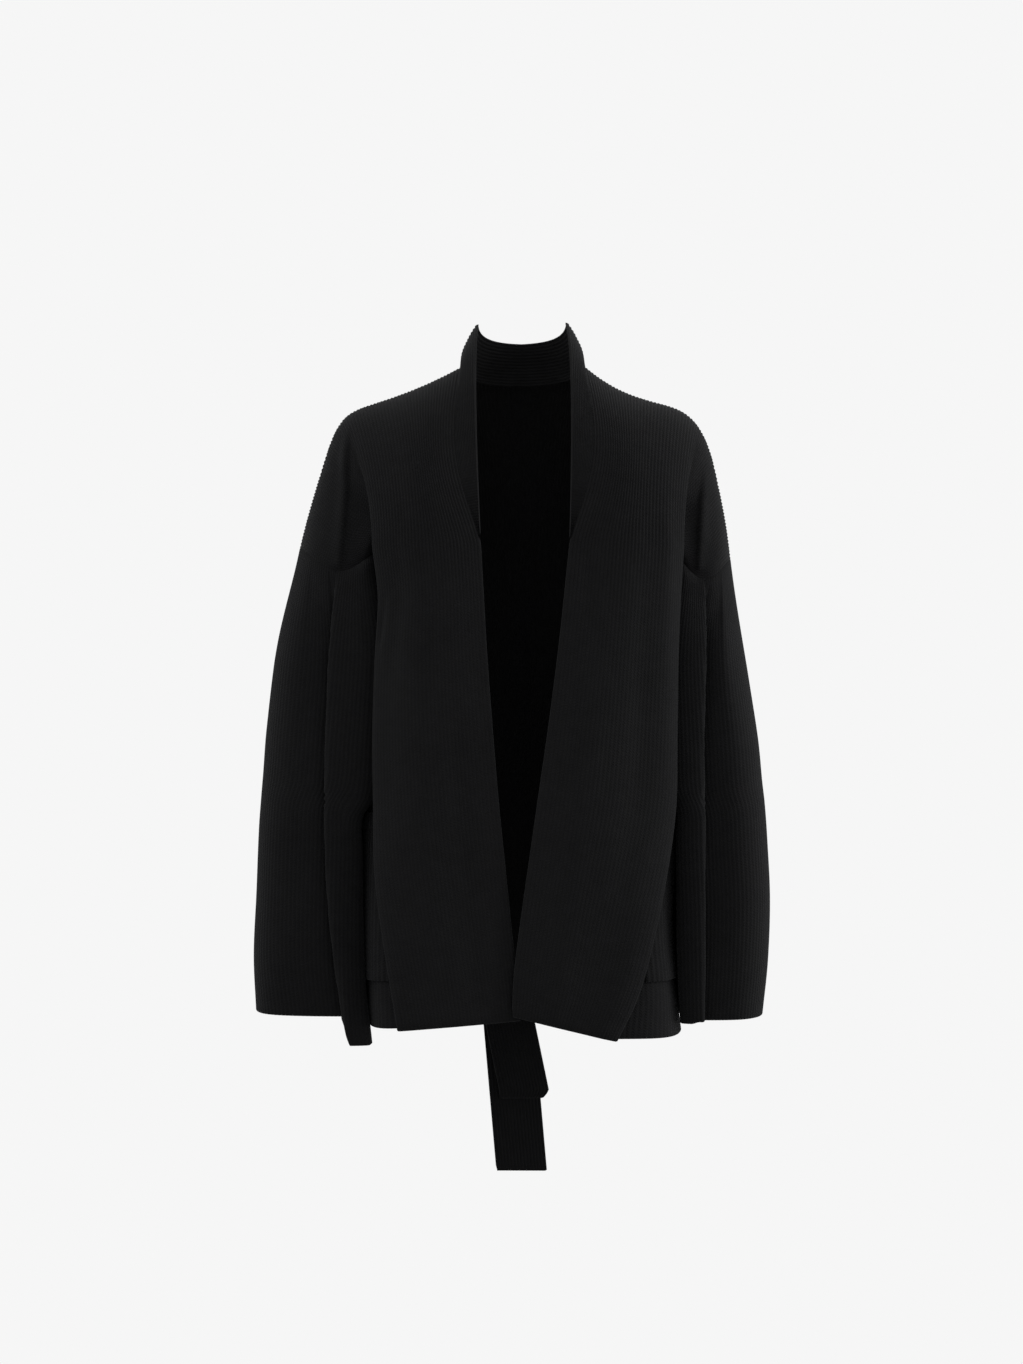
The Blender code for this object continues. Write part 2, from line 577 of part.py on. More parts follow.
def build():
    for obj in list(bpy.data.objects):
        bpy.data.objects.remove(obj, do_unlink=True)
    group = bpy.data.collections.new("cardigan")
    bpy.context.scene.collection.children.link(group)

    seam = GAP / 2
    taus = np.array(CAP_ROWS[:-1])
    neck_k = np.linspace(0, 1, 6)
    # the neckband stands steeply on the shoulder and lies flat lower on the fronts
    neck_gap = 0.0018 - 0.0013 * smooth(0.0, 0.5, taus)

    s = np.concatenate([np.linspace(0, 0.37, 8), np.linspace(0.405, 0.70, 10),
                        np.linspace(0.735, 0.970, 8), [1.0]])
    for side in ("R", "L"):
        end = FRONT[side][-1][0]
        f_top, f_low = [(z - UNDERARM_Z) / (end - UNDERARM_Z) for z in (POCKET_TOP, POCKET_BOTTOM)]
        levels = [0.0, 0.10, 0.21, 0.32, 0.43] + list(np.linspace(f_top, f_low, 5)) + [0.955, 1.0]
        g = front_grid(side, s, taus, levels)
        first = len(taus) + 5
        pocket = pocket_from(g, side, first, first + 4, 18, 25)
        g = pull_back(g, 0, True, shoulder_gap(s))
        g = pull_back(g, 1, False, seam + 0.0003)      # armhole and side seam
        amount = np.zeros(len(g))
        amount[:len(taus)] = neck_gap                  # neck seam
        g = pull_back(g, 1, True, amount)
        cloth("front_" + side, g, group, COLOUR, flip=(side == "L"))
        cloth("pocket_" + side, pocket, group, COLOUR, flip=(side == "L"))

    half = np.concatenate([neck_k * NECK_SHARE,
                           NECK_SHARE + (1 - NECK_SHARE) * SEAM_COLUMNS[1:]])
    u = np.concatenate([-half[::-1][:-1], half])
    back_levels = (0.0, 0.12, 0.25, 0.38, 0.51, 0.64, 0.76, 0.88, 1.0)
    back = back_grid(u, taus, back_levels)
    g = pull_back(back, 1, True, seam + 0.0003)
    g = pull_back(g, 1, False, seam + 0.0003)
    # band and back meet in one line at the centre, at a right angle at the neck's side
    back_gap = 0.0006 + 0.0025 * smooth(0.05, 0.6, neck_k)
    top = np.where(np.abs(u) < NECK_SHARE + 0.001,
                   np.interp(np.abs(u) / NECK_SHARE, neck_k, back_gap),
                   shoulder_gap((np.abs(u) - NECK_SHARE) / (1 - NECK_SHARE)))
    g = pull_back(g, 0, True, top)
    cloth("back", g, group, COLOUR, flip=True)

    cap = np.array(CAP_ROWS)
    cap = np.sort(np.concatenate([cap, (cap[1:] + cap[:-1]) / 2]))
    phi = np.concatenate([cap / 2, 1 - cap[::-1][1:-1] / 2])
    for side in ("R", "L"):
        g = sleeve_grid(side, phi, (0.0, 0.05, 0.11, 0.18, 0.27, 0.38, 0.50, 0.62, 0.74, 0.87, 1.0))
        cloth("sleeve_" + side, g, group, COLOUR, closed=True, flip=(side == "L"))

    band_taus = np.concatenate([taus, [0.975]])
    g = band_grid(band_taus, neck_k, (0.0, 0.3, 0.62, 1.0))
    up = 0.0018 - 0.0013 * smooth(0.0, 0.5, band_taus[::-1])
    amount = np.concatenate([up, back_gap[::-1][1:], back_gap[1:][:-1], up[::-1]])
    g = pull_back(g, 1, True, amount)
    cloth("collar", g, group, COLOUR_BAND, flip=True)

    # the belt: two halves on the back waist, a knot and two hanging ends
    out = WALL / 2 + GAP + BELT_T / 2 + 0.0006
    zs = (WAIST_Z + BELT_W / 2, WAIST_Z, WAIST_Z - BELT_W / 2)
    for side, places in (("R", (-0.80, -KNOT_U - 0.085)), ("L", (-KNOT_U + 0.085, 0.80))):
        inside = [v for v in u if places[0] + 0.01 < v < places[1] - 0.01]
        cols = [places[0]] + inside + [places[1]]
        g = np.array([on_back(back, u, cols, z, out) for z in zs])
        cloth("belt_side_" + side, g, group, COLOUR_BAND, flip=True, wall=BELT_T)

    x, y, z = KNOT
    mesh = bpy.data.meshes.new("belt_knot")
    bm = bmesh.new()
    bmesh.ops.create_cube(bm, size=1.0)
    for v in bm.verts:
        v.co.x, v.co.y, v.co.z = (x + v.co.x * KNOT_SIZE[0], y + v.co.y * KNOT_SIZE[1],
                                  z + v.co.z * KNOT_SIZE[2])
    bm.to_mesh(mesh)
    bm.free()
    knot = bpy.data.objects.new("belt_knot", mesh)
    group.objects.link(knot)
    mesh.shade_smooth()
    soft = knot.modifiers.new("soft", "BEVEL")
    soft.width = 0.011
    soft.segments = 3
    soft.limit_method = "NONE"
    knot.modifiers.new("triangles", "TRIANGULATE")
    paint(knot, COLOUR_BAND)

    for name, rows in (("belt_end_long", END_LONG), ("belt_end_short", END_SHORT)):
        rows = np.asarray(rows, float)
        zs = np.linspace(rows[0, 2], rows[-1, 2], 11)
        path = [[np.interp(-v, -rows[:, 2], rows[:, k]) for k in range(5)] for v in zs]
        g = hanging([p[:3] for p in path], [p[3] for p in path], [p[4] for p in path])
        cloth(name, g, group, COLOUR_BAND, flip=True, wall=BELT_T)


build()
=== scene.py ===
# Looks of the open-front rib-knit cardigan: every knit piece is a thin double-faced
# sheet with its ribs, folds and soft edges, on the form of its solid.
import bpy
import numpy as np
from math import pi
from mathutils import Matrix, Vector


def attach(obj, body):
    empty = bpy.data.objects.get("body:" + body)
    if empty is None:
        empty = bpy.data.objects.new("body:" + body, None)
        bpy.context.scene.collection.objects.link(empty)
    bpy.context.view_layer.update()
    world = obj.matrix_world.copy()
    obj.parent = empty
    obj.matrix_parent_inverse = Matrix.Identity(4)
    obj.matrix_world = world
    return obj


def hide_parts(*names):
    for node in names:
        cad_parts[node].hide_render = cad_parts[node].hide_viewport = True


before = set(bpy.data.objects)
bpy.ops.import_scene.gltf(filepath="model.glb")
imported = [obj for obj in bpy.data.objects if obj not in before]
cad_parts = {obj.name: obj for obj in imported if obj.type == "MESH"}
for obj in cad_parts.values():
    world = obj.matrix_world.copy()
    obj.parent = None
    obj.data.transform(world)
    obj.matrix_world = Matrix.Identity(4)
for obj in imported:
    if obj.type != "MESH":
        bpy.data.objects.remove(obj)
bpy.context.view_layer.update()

# ---------------------------------------------------------------- sizes
WALL = 0.003             # knit, thickness
GAP = 0.0003             # between two pieces at a seam
UNDERARM_Z = -0.200      # height of the underarm point
CHEST_Y = 0.010          # the shoulder seam lies this far behind the neck's centre
CAP_BULGE = 0.066        # the dropped shoulder stands this far forward round the arm
CAP_DIP = 0.026          # the armhole seam hangs lower at the front of the arm
VALLEY = 0.004           # hollow between chest and arm, from the shoulder tip down
NECK_BOW = 0.0212        # outward bow of the neck seam between shoulder and chest
BACK_NECK_Y = 0.076      # back neck seam, behind the neck's centre
BACK_NECK_Z = -0.014     # and below it
BAND_RISE = 0.047        # the neckband stands this high at the neck's side
BAND_IN = 0.0165         # and leans this far inward
LAYER_1 = 0.011          # drape fold: front layer to the layer folded under it
LAYER_2 = 0.013          # and from there to the side part
POCKET_TOP = -0.483
POCKET_BOTTOM = -0.670
POCKET_GAPE = 0.003      # its mouth stands open by this much
BELT_W = 0.056           # belt, width
BELT_T = 0.0028          # belt, thickness
WAIST_Z = -0.395         # height of the belt at the back
NECK_SHARE = 0.185       # share of half of the back that lies under the neck
KNOT_U = 0.115           # the knot lies this far to the right on the back
KNOT = (-0.0380, 0.1370, -0.395)
KNOT_SIZE = (0.0530, 0.0260, 0.0640)

# Rows from the shoulder seam (0) to the underarm (1), shared by every piece at the armhole,
# and columns of the shoulder seam from the neck (0) to the armhole (1).
CAP_ROWS = (0.0, 0.15, 0.30, 0.45, 0.60, 0.75, 0.89, 1.0)
SEAM_COLUMNS = np.linspace(0.0, 1.0, 10)


# Half sections of each front below the underarm, outward from the centre.
# edge: the front edge.  ridge: the fold that hangs from the shoulder tip.
# fold: how deep the cloth is folded under that ridge.  side: the side seam.
FRONT_COLUMNS = ("z", "edge_x", "edge_y", "mid_y", "ridge_x", "ridge_y", "fold", "side_x")
FRONT = {
    "R": (
        (-0.200, 0.0450, -0.104, -0.113, 0.159, -0.080, 0.030, 0.151),
        (-0.255, 0.0420, -0.107, -0.116, 0.153, -0.081, 0.040, 0.155),
        (-0.310, 0.0390, -0.110, -0.119, 0.156, -0.082, 0.051, 0.159),
        (-0.400, 0.0325, -0.114, -0.122, 0.159, -0.086, 0.064, 0.164),
        (-0.480, 0.0260, -0.116, -0.124, 0.158, -0.092, 0.072, 0.169),
        (-0.550, 0.0190, -0.117, -0.126, 0.156, -0.106, 0.074, 0.171),
        (-0.620, 0.0120, -0.118, -0.127, 0.147, -0.118, 0.072, 0.171),
        (-0.680, 0.0050, -0.118, -0.127, 0.137, -0.124, 0.068, 0.170),
        (-0.716, 0.0020, -0.118, -0.127, 0.131, -0.127, 0.066, 0.168),
    ),
    "L": (
        (-0.200, 0.0510, -0.106, -0.114, 0.1715, -0.080, 0.030, 0.162),
        (-0.300, 0.0410, -0.114, -0.121, 0.1665, -0.082, 0.050, 0.164),
        (-0.400, 0.0290, -0.119, -0.126, 0.1645, -0.086, 0.064, 0.166),
        (-0.480, 0.0180, -0.122, -0.129, 0.1630, -0.092, 0.072, 0.169),
        (-0.550, 0.0085, -0.124, -0.131, 0.153, -0.108, 0.070, 0.163),
        (-0.620, -0.0010, -0.126, -0.132, 0.138, -0.122, 0.064, 0.161),
        (-0.680, -0.0080, -0.127, -0.133, 0.121, -0.129, 0.056, 0.168),
        (-0.726, -0.0100, -0.127, -0.133, 0.099, -0.131, 0.050, 0.174),
    ),
}
# The hem: its height at the front edge, at the ridge and at the side seam.
HEM = {"R": (-0.7055, -0.7160, -0.7190), "L": (-0.7005, -0.7265, -0.7275)}

# The shoulder line from the neck point out to the dropped armhole, one row for
# each guide of the sections above: distance out from the centre, height.
SHOULDER = {
    "R": ((0.0655, 0.000), (0.092, -0.0145), (0.132, -0.0315), (0.168, -0.0425),
          (0.190, -0.0505), (0.203, -0.0660), (0.212, -0.0880), (0.2195, -0.112),
          (0.229, -0.1440), (0.238, -0.1760), (0.2435, -0.2000)),
    "L": ((0.0660, 0.002), (0.092, -0.0205), (0.132, -0.0372), (0.168, -0.0440),
          (0.188, -0.0570), (0.200, -0.0760), (0.2075, -0.096), (0.213, -0.118),
          (0.219, -0.1480), (0.225, -0.1800), (0.2283, -0.2120)),
}

# Sleeve sections.  outer, inner: its two sides.  ridge: the edge of its front
# fold.  lap: how far its front reaches towards the body.  front, back: how far it
# reaches in Y.  crease: strength of the fold.  tuck: how far it reaches in behind
# the body's side.
SLEEVE_COLUMNS = ("z", "outer", "ridge", "inner", "lap", "tuck", "front", "back", "crease")
SLEEVE = {
    "R": (
        (-0.200, 0.2440, 0.2000, 0.1570, 0.150, 0.146, -0.060, 0.066, 0.4),
        (-0.300, 0.2640, 0.2025, 0.1660, 0.149, 0.152, -0.064, 0.068, 0.7),
        (-0.400, 0.2765, 0.2055, 0.1735, 0.153, 0.157, -0.064, 0.071, 0.8),
        (-0.450, 0.2803, 0.2066, 0.1875, 0.162, 0.159, -0.064, 0.072, 0.8),
        (-0.473, 0.2822, 0.2067, 0.1925, 0.177, 0.159, -0.065, 0.073, 0.8),
        (-0.510, 0.2848, 0.2062, 0.1925, 0.177, 0.159, -0.065, 0.074, 0.8),
        (-0.580, 0.2875, 0.2030, 0.1870, 0.176, 0.159, -0.064, 0.074, 0.8),
        (-0.650, 0.2905, 0.1960, 0.1835, 0.1735, 0.160, -0.062, 0.073, 0.8),
        (-0.710, 0.2880, 0.1880, 0.1765, 0.167, 0.161, -0.056, 0.072, 0.8),
    ),
    "L": (
        (-0.200, 0.2285, 0.1970, 0.1680, 0.160, 0.157, -0.060, 0.066, 0.4),
        (-0.300, 0.2400, 0.1920, 0.1710, 0.157, 0.158, -0.064, 0.068, 0.8),
        (-0.400, 0.2545, 0.1895, 0.1760, 0.157, 0.159, -0.064, 0.071, 0.9),
        (-0.450, 0.2591, 0.1901, 0.1860, 0.162, 0.160, -0.064, 0.072, 0.9),
        (-0.473, 0.2617, 0.1905, 0.1900, 0.172, 0.160, -0.066, 0.073, 0.9),
        (-0.510, 0.2645, 0.1905, 0.1895, 0.172, 0.160, -0.066, 0.073, 0.9),
        (-0.580, 0.2680, 0.1905, 0.1860, 0.172, 0.160, -0.066, 0.074, 0.9),
        (-0.650, 0.2660, 0.1905, 0.1845, 0.173, 0.160, -0.063, 0.073, 0.9),
        (-0.710, 0.2600, 0.1900, 0.1845, 0.176, 0.161, -0.060, 0.072, 0.9),
    ),
}
SLEEVE_HEM = {"R": (-0.705, 0.030), "L": (-0.709, 0.002)}  # height, extra length inside

# Soft vertical folds of the back below the shoulder blades:
# place across the back (-1 to 1), width, depth at the hem, height where it starts.
BACK_FOLDS = (
    (-0.66, 0.11, 0.016, -0.10),
    (-0.36, 0.09, -0.012, -0.22),
    (-0.10, 0.08, 0.009, -0.30),
    (0.16, 0.09, -0.010, -0.26),
    (0.42, 0.10, 0.013, -0.20),
    (0.70, 0.11, 0.015, -0.12),
)

# The two hanging belt ends, from the knot down: x, y, z, width, turn about the vertical.
END_LONG = (
    (-0.0405, 0.1410, -0.4276, 0.050, 0.00),
    (-0.0350, 0.1500, -0.520, 0.054, 0.03),
    (-0.0250, 0.1545, -0.630, 0.056, 0.05),
    (-0.0150, 0.1560, -0.735, 0.056, 0.03),
    (0.0000, 0.1550, -0.9065, 0.056, -0.02),
)
END_SHORT = (
    (-0.0400, 0.1345, -0.4276, 0.050, 0.00),
    (-0.0380, 0.1425, -0.520, 0.053, -0.02),
    (-0.0290, 0.1475, -0.630, 0.055, -0.04),
    (-0.0135, 0.1485, -0.735, 0.055, -0.03),
    (0.0030, 0.1480, -0.8150, 0.055, 0.00),
    (0.0002, 0.1480, -0.8225, 0.048, 0.00),
)


# ---------------------------------------------------------------- curves
def basis(n, t):
    """Weights of n clamped cubic B-spline controls at parameters t in 0..1."""
    knots = np.concatenate([[0, 0, 0], np.linspace(0, 1, n - 2), [1, 1, 1]])
    t = np.clip(np.asarray(t, float), 0, 1)
    span = np.minimum(np.searchsorted(knots, t, side="right") - 1, n - 1)
    w = np.zeros((len(t), n + 3))
    w[np.arange(len(t)), span] = 1.0
    for degree in (1, 2, 3):
        new = np.zeros_like(w)
        for i in range(n + 3 - degree):
            a, b = knots[i], knots[i + degree]
            if b > a:
                new[:, i] += (t - a) / (b - a) * w[:, i]
            if i + 1 + degree < len(knots):
                a, b = knots[i + 1], knots[i + 1 + degree]
                if b > a:
                    new[:, i] += (b - t) / (b - a) * w[:, i + 1]
        w = new
    return w[:, :n]


FINE = np.linspace(0, 1, 481)
FINE_BASIS = basis(11, FINE)
RIDGE_AT = 0.46          # share of the panel's width from its front edge to the ridge
RIDGE_T = 0.405          # the same place on the guide curve


def by_length(controls, s):
    """A curve through eleven guides, spaced by length: the ridge stays at RIDGE_AT."""
    curve = FINE_BASIS @ np.asarray(controls, float)
    run = np.concatenate([[0], np.cumsum(np.linalg.norm(np.diff(curve, axis=0), axis=1))])
    ridge = np.interp(RIDGE_T, FINE, run)
    s = np.asarray(s, float)
    want = np.where(s < RIDGE_AT, ridge * s / RIDGE_AT,
                    ridge + (run[-1] - ridge) * (s - RIDGE_AT) / (1 - RIDGE_AT))
    return np.column_stack([np.interp(want, run, curve[:, k]) for k in range(curve.shape[1])])


def closed_bspline(controls, t):
    """Periodic cubic B-spline, t in 0..1 once round."""
    c = np.asarray(controls, float)
    n = len(c)
    u = (np.asarray(t, float) % 1.0) * n
    i = np.floor(u).astype(int)
    f = (u - i)[:, None]
    w = ((1 - f) ** 3 / 6, (3 * f ** 3 - 6 * f ** 2 + 4) / 6,
         (-3 * f ** 3 + 3 * f ** 2 + 3 * f + 1) / 6, f ** 3 / 6)
    return sum(w[k] * c[(i + k - 1) % n] for k in range(4))


def table_at(rows, z):
    """A table's columns at height z, smooth between its rows."""
    rows = np.asarray(rows, float)
    zs = rows[:, 0]
    z = float(np.clip(z, zs[-1], zs[0]))
    i = int(np.clip(np.searchsorted(-zs, -z, side="right") - 1, 0, len(zs) - 2))
    h = zs[i + 1] - zs[i]
    f = (z - zs[i]) / h

    def slope(k):
        if k == 0:
            return (rows[1] - rows[0]) / (zs[1] - zs[0])
        if k == len(zs) - 1:
            return (rows[-1] - rows[-2]) / (zs[-1] - zs[-2])
        return (rows[k + 1] - rows[k - 1]) / (zs[k + 1] - zs[k - 1])

    a, b = slope(i) * h, slope(i + 1) * h
    return ((2 * f ** 3 - 3 * f ** 2 + 1) * rows[i] + (f ** 3 - 2 * f ** 2 + f) * a
            + (-2 * f ** 3 + 3 * f ** 2) * rows[i + 1] + (f ** 3 - f ** 2) * b)


def on_chords(curve, knots, at):
    """Points on the straight chords of a curve between its points at the knots."""
    p = curve(np.asarray(knots, float))
    return np.column_stack([np.interp(at, knots, p[:, k]) for k in range(p.shape[1])])


def smooth(a, b, x):
    """0 below a, 1 above b, soft between."""
    f = np.clip((np.asarray(x, float) - a) / (b - a), 0, 1)
    return f * f * (3 - 2 * f)


def sign(side):
    return -1.0 if side == "R" else 1.0


# ---------------------------------------------------------------- fronts
def front_section(side, z, s):
    """Plan of a front at height z: x outward, y, for s from front edge to side seam."""
    _, ex, ey, my, rx, ry, fold, sx = table_at(FRONT[side], z)
    vx = rx - fold
    low = float(smooth(0.40, 0.49, -z))       # lower down the side lies closer and faces forward
    turn = 0.25 + 0.37 * low
    layers = LAYER_1 + LAYER_2 + 0.012 * (1 - low)
    c = (
        (ex, ey),
        (ex + 0.35 * (rx - ex), my),
        (ex + 0.70 * (rx - ex), 0.8 * my + 0.2 * ry),
        (rx - 0.012, 0.4 * my + 0.6 * ry),
        (rx + 0.003, ry + 0.002),
        (rx + 0.001, ry + LAYER_1),
        (vx, ry + LAYER_1 + 0.001),
        (vx, ry + layers),
        (vx + 0.62 * (sx - vx), ry + layers + 0.004),
        (sx - 0.002, turn * ry),
        (sx, CHEST_Y),
    )
    return by_length(c, s)


def shoulder_line(side, s):
    """x outward and z of the shoulder line for the same s."""
    return by_length(SHOULDER[side], s)


def cap_weight(s):
    return smooth(0.45, 1.0, s)


def upper(side, s, tau, section, forward):
    """From the shoulder line (tau 0) to the underarm level (tau 1)."""
    s = np.asarray(s, float)
    tau = np.asarray(tau, float)
    top = shoulder_line(side, s)
    fx = (1 - np.cos(pi * tau)) / 2
    fy = np.sin(pi * tau / 2)
    fz = 1 - np.cos(pi * tau / 2)
    w = cap_weight(s)
    fy = fy + (tau ** 3 - fy) * w
    x = top[:, 0] + (section[:, 0] - top[:, 0]) * fx
    y = (CHEST_Y + (section[:, 1] - CHEST_Y) * fy
         - forward * CAP_BULGE * w * np.sin(pi / 2 * np.minimum(tau / 0.45, 1))
         * np.cos(pi / 2 * np.maximum((tau - 0.68) / 0.32, 0)))
    valley = np.exp(-((s - 0.66) / 0.095) ** 2) * np.sin(pi * np.minimum(1.0, tau * 1.02)) ** 0.7
    y = y + forward * VALLEY * valley
    z = top[:, 1] + (UNDERARM_Z - top[:, 1]) * fz
    z = z - CAP_DIP * w * np.sin(pi * tau) ** 3
    if forward > 0:
        bow = np.maximum(np.sin(pi * tau ** 1.7), 0) ** 1.3
        x = x + NECK_BOW * (1 - smooth(0.0, 0.30, s)) * bow
    return np.stack([x, y, z], 1)


def front_grid(side, s, taus, levels):
    """Rows from the shoulder to the hem, columns from front edge to side seam."""
    rows = []
    section = front_section(side, UNDERARM_Z, s)
    for tau in taus:
        rows.append(upper(side, s, tau, section, 1.0))
    seam = on_chords(lambda v: shoulder_line(side, v), SEAM_COLUMNS, s)
    rows[0] = np.column_stack([seam[:, 0], np.full(len(s), CHEST_Y), seam[:, 1]])
    end = FRONT[side][-1][0]
    last = front_section(side, end, s)[:, 0]
    _, ex, _, _, rx, _, _, sx = FRONT[side][-1]
    hem = np.interp(last, (ex, rx, sx), HEM[side])
    for f in levels:
        z = UNDERARM_Z + f * (end - UNDERARM_Z)
        plan = front_section(side, z, s)
        rows.append(np.column_stack([plan, UNDERARM_Z + f * (hem - UNDERARM_Z)]))
    g = np.array(rows)
    g[:, :, 0] *= sign(side)
    return g


# ---------------------------------------------------------------- back
def back_section(side, z, s):
    """Plan of half of the back: from below the neck point (s 0) to the side seam (s 1)."""
    sx = table_at(FRONT[side], z)[7]
    deep = 0.106 + 0.020 * float(smooth(0.15, 0.75, -z))
    c = (
        (0.062, deep + 0.003), (0.082, deep + 0.002), (0.104, deep - 0.003),
        (0.122, deep - 0.010), (sx - 0.031, deep - 0.022), (sx - 0.021, deep - 0.036),
        (sx - 0.015, 0.060), (sx - 0.011, 0.045), (sx - 0.007, 0.034),
        (sx - 0.002, 0.020), (sx, CHEST_Y + 0.0005),
    )
    return by_length(c, s)


def neck_back(side, k):
    """The back neck seam: k 1 at the shoulder's neck point, 0 at the back's centre."""
    x, z = SHOULDER[side][0]
    k = np.asarray(k, float)
    return np.stack([x * np.sin(k * pi / 2),
                     CHEST_Y + (BACK_NECK_Y - CHEST_Y) * np.cos(k * pi / 2),
                     z * k + BACK_NECK_Z * (1 - k ** 3)], 1)


def back_row(side, a, kind, f):
    """One row of half of the back, for a from the centre (0) to the side (1)."""
    s = np.clip((a - NECK_SHARE) / (1 - NECK_SHARE), 0, 1)
    k = np.clip(a / NECK_SHARE, 0, 1)
    inner = a < NECK_SHARE
    z = UNDERARM_Z if kind == "cap" else UNDERARM_Z + f * (HEM[side][2] - UNDERARM_Z)
    sec = back_section(side, z, s)
    plan = np.column_stack([np.where(inner, sec[:, 0] * k, sec[:, 0]),
                            sec[:, 1] + np.where(inner, 0.004 * (1 - k * k), 0.0)])
    if kind == "cap":
        neck = neck_back(side, k)
        m = k * k                 # the cloth drops more steeply at the centre of the neck
        fy = m * np.sin(pi * f / 2) + (1 - m) * f ** 0.75
        fz = m * (1 - np.cos(pi * f / 2)) + (1 - m) * (0.4 * f + 0.6 * (1 - np.cos(pi * f / 2)))
        low = np.column_stack([
            neck[:, 0] + (plan[:, 0] - neck[:, 0]) * (1 - np.cos(pi * f)) / 2,
            neck[:, 1] + (plan[:, 1] - neck[:, 1]) * fy,
            neck[:, 2] + (UNDERARM_Z - neck[:, 2]) * fz])
        p = np.where(inner[:, None], low, upper(side, s, f, plan, -1.0))
    else:
        p = np.column_stack([plan, np.full(len(a), z)])
    return p


def back_grid(u, taus, levels):
    """u runs from the right armhole (-1) over the back's centre (0) to the left (1)."""
    u = np.asarray(u, float)
    out = []
    for kind, f in [("cap", t) for t in taus] + [("body", v) for v in levels]:
        right = back_row("R", np.abs(u), kind, f)
        left = back_row("L", np.abs(u), kind, f)
        mix = smooth(-0.06, 0.06, u)[:, None]     # the two halves meet softly
        both = right * (1 - mix) + left * mix
        both[:, 0] = np.where(u < 0, -1, 1) * np.where(u < 0, right[:, 0], left[:, 0])
        for place, width, depth, start in BACK_FOLDS:
            w = np.exp(-((u - place) / width) ** 2)
            g = smooth(-start, 0.72, -both[:, 2]) * smooth(1.0, 0.88, np.abs(u))
            both[:, 1] += depth * w * g
        out.append(both)
    return np.array(out)


# ---------------------------------------------------------------- sleeves
def armhole(side, tau, forward):
    """The armhole seam from the arm's outside (0) to the underarm (1)."""
    sec = front_section(side, UNDERARM_Z, [1.0])
    return upper(side, [1.0], np.asarray(tau, float), sec, forward)


def sleeve_section(side, z, phi):
    """Closed plan, phi 0 at the outside, forward round to the inside at 0.5."""
    _, ox, rx, ix, lap, tuck, fy, by, k = table_at(SLEEVE[side], z)
    mid = 0.5 * (ox + ix)
    c = (
        (ox + 0.004, -0.006), (ox - 0.001, fy * 0.60), (ox - 0.017, fy * 0.93),
        (0.52 * ox + 0.48 * rx, fy * 0.99), (rx + 0.015, fy + 0.004 * k),
        (rx - 0.013 * k, fy + 0.011 * k), (rx - 0.013 * k, fy + 0.003 * k + 0.002),
        (rx + 0.009, fy - 0.004), (rx + 0.004, fy - 0.011 * k),
        (lap - 0.006 - 0.45 * (ix - lap), fy + 0.001), (0.5 * (lap + ix) - 0.001, fy + 0.021),
        (ix, 0.000), (ix - 0.3 * (ix - tuck), 0.030), (tuck, 0.057),
        (tuck + 0.014, by * 1.02), (mid + 0.010, by * 1.10), (ox - 0.020, by * 0.98),
        (ox + 0.001, by * 0.52),
    )
    t = np.linspace(0, 1, 721)
    curve = closed_bspline(c, t)
    run = np.concatenate([[0], np.cumsum(np.linalg.norm(np.diff(curve, axis=0), axis=1))])
    half = np.interp(11 / 18, t, run)
    phi = np.asarray(phi, float)
    want = np.where(phi < 0.5, half * phi * 2, half + (run[-1] - half) * (phi * 2 - 1))
    return np.column_stack([np.interp(want, run, curve[:, 0]), np.interp(want, run, curve[:, 1])])


def sleeve_grid(side, phi, levels, ease=0.0048, drop=0.0026, knots=CAP_ROWS):
    """Rows from the armhole to the cuff, columns once round."""
    phi = np.asarray(phi, float)
    front = phi <= 0.5
    tau = np.where(front, phi * 2, 2 - phi * 2)
    ring = np.where(front[:, None],
                    on_chords(lambda v: armhole(side, v, 1.0), knots, tau),
                    on_chords(lambda v: armhole(side, v, -1.0), knots, tau))
    inner = smooth(0.5, 1.0, tau)
    ring = ring + np.stack([ease * inner, 0.0 * inner, -drop - 0.2 * ease * inner], 1)
    hem_z, extra = SLEEVE_HEM[side]
    inside = smooth(0.326, 0.346, phi) * (1 - smooth(0.385, 0.50, phi))
    hem = hem_z - extra * inside - 0.004 * np.sin(pi * phi)
    top = sleeve_section(side, UNDERARM_Z, phi)
    rows = []
    for f in levels:
        z = ring[:, 2] + f * (hem - ring[:, 2])
        zn = UNDERARM_Z + f * (SLEEVE[side][-1][0] - UNDERARM_Z)
        w = 1 - smooth(0.0, 1.0, f / (0.26 - 0.14 * inner))
        plan = sleeve_section(side, zn, phi) + (ring[:, :2] - top) * w[:, None]
        rows.append(np.column_stack([plan, z]))
    g = np.array(rows)
    g[:, :, 0] *= sign(side)
    return g


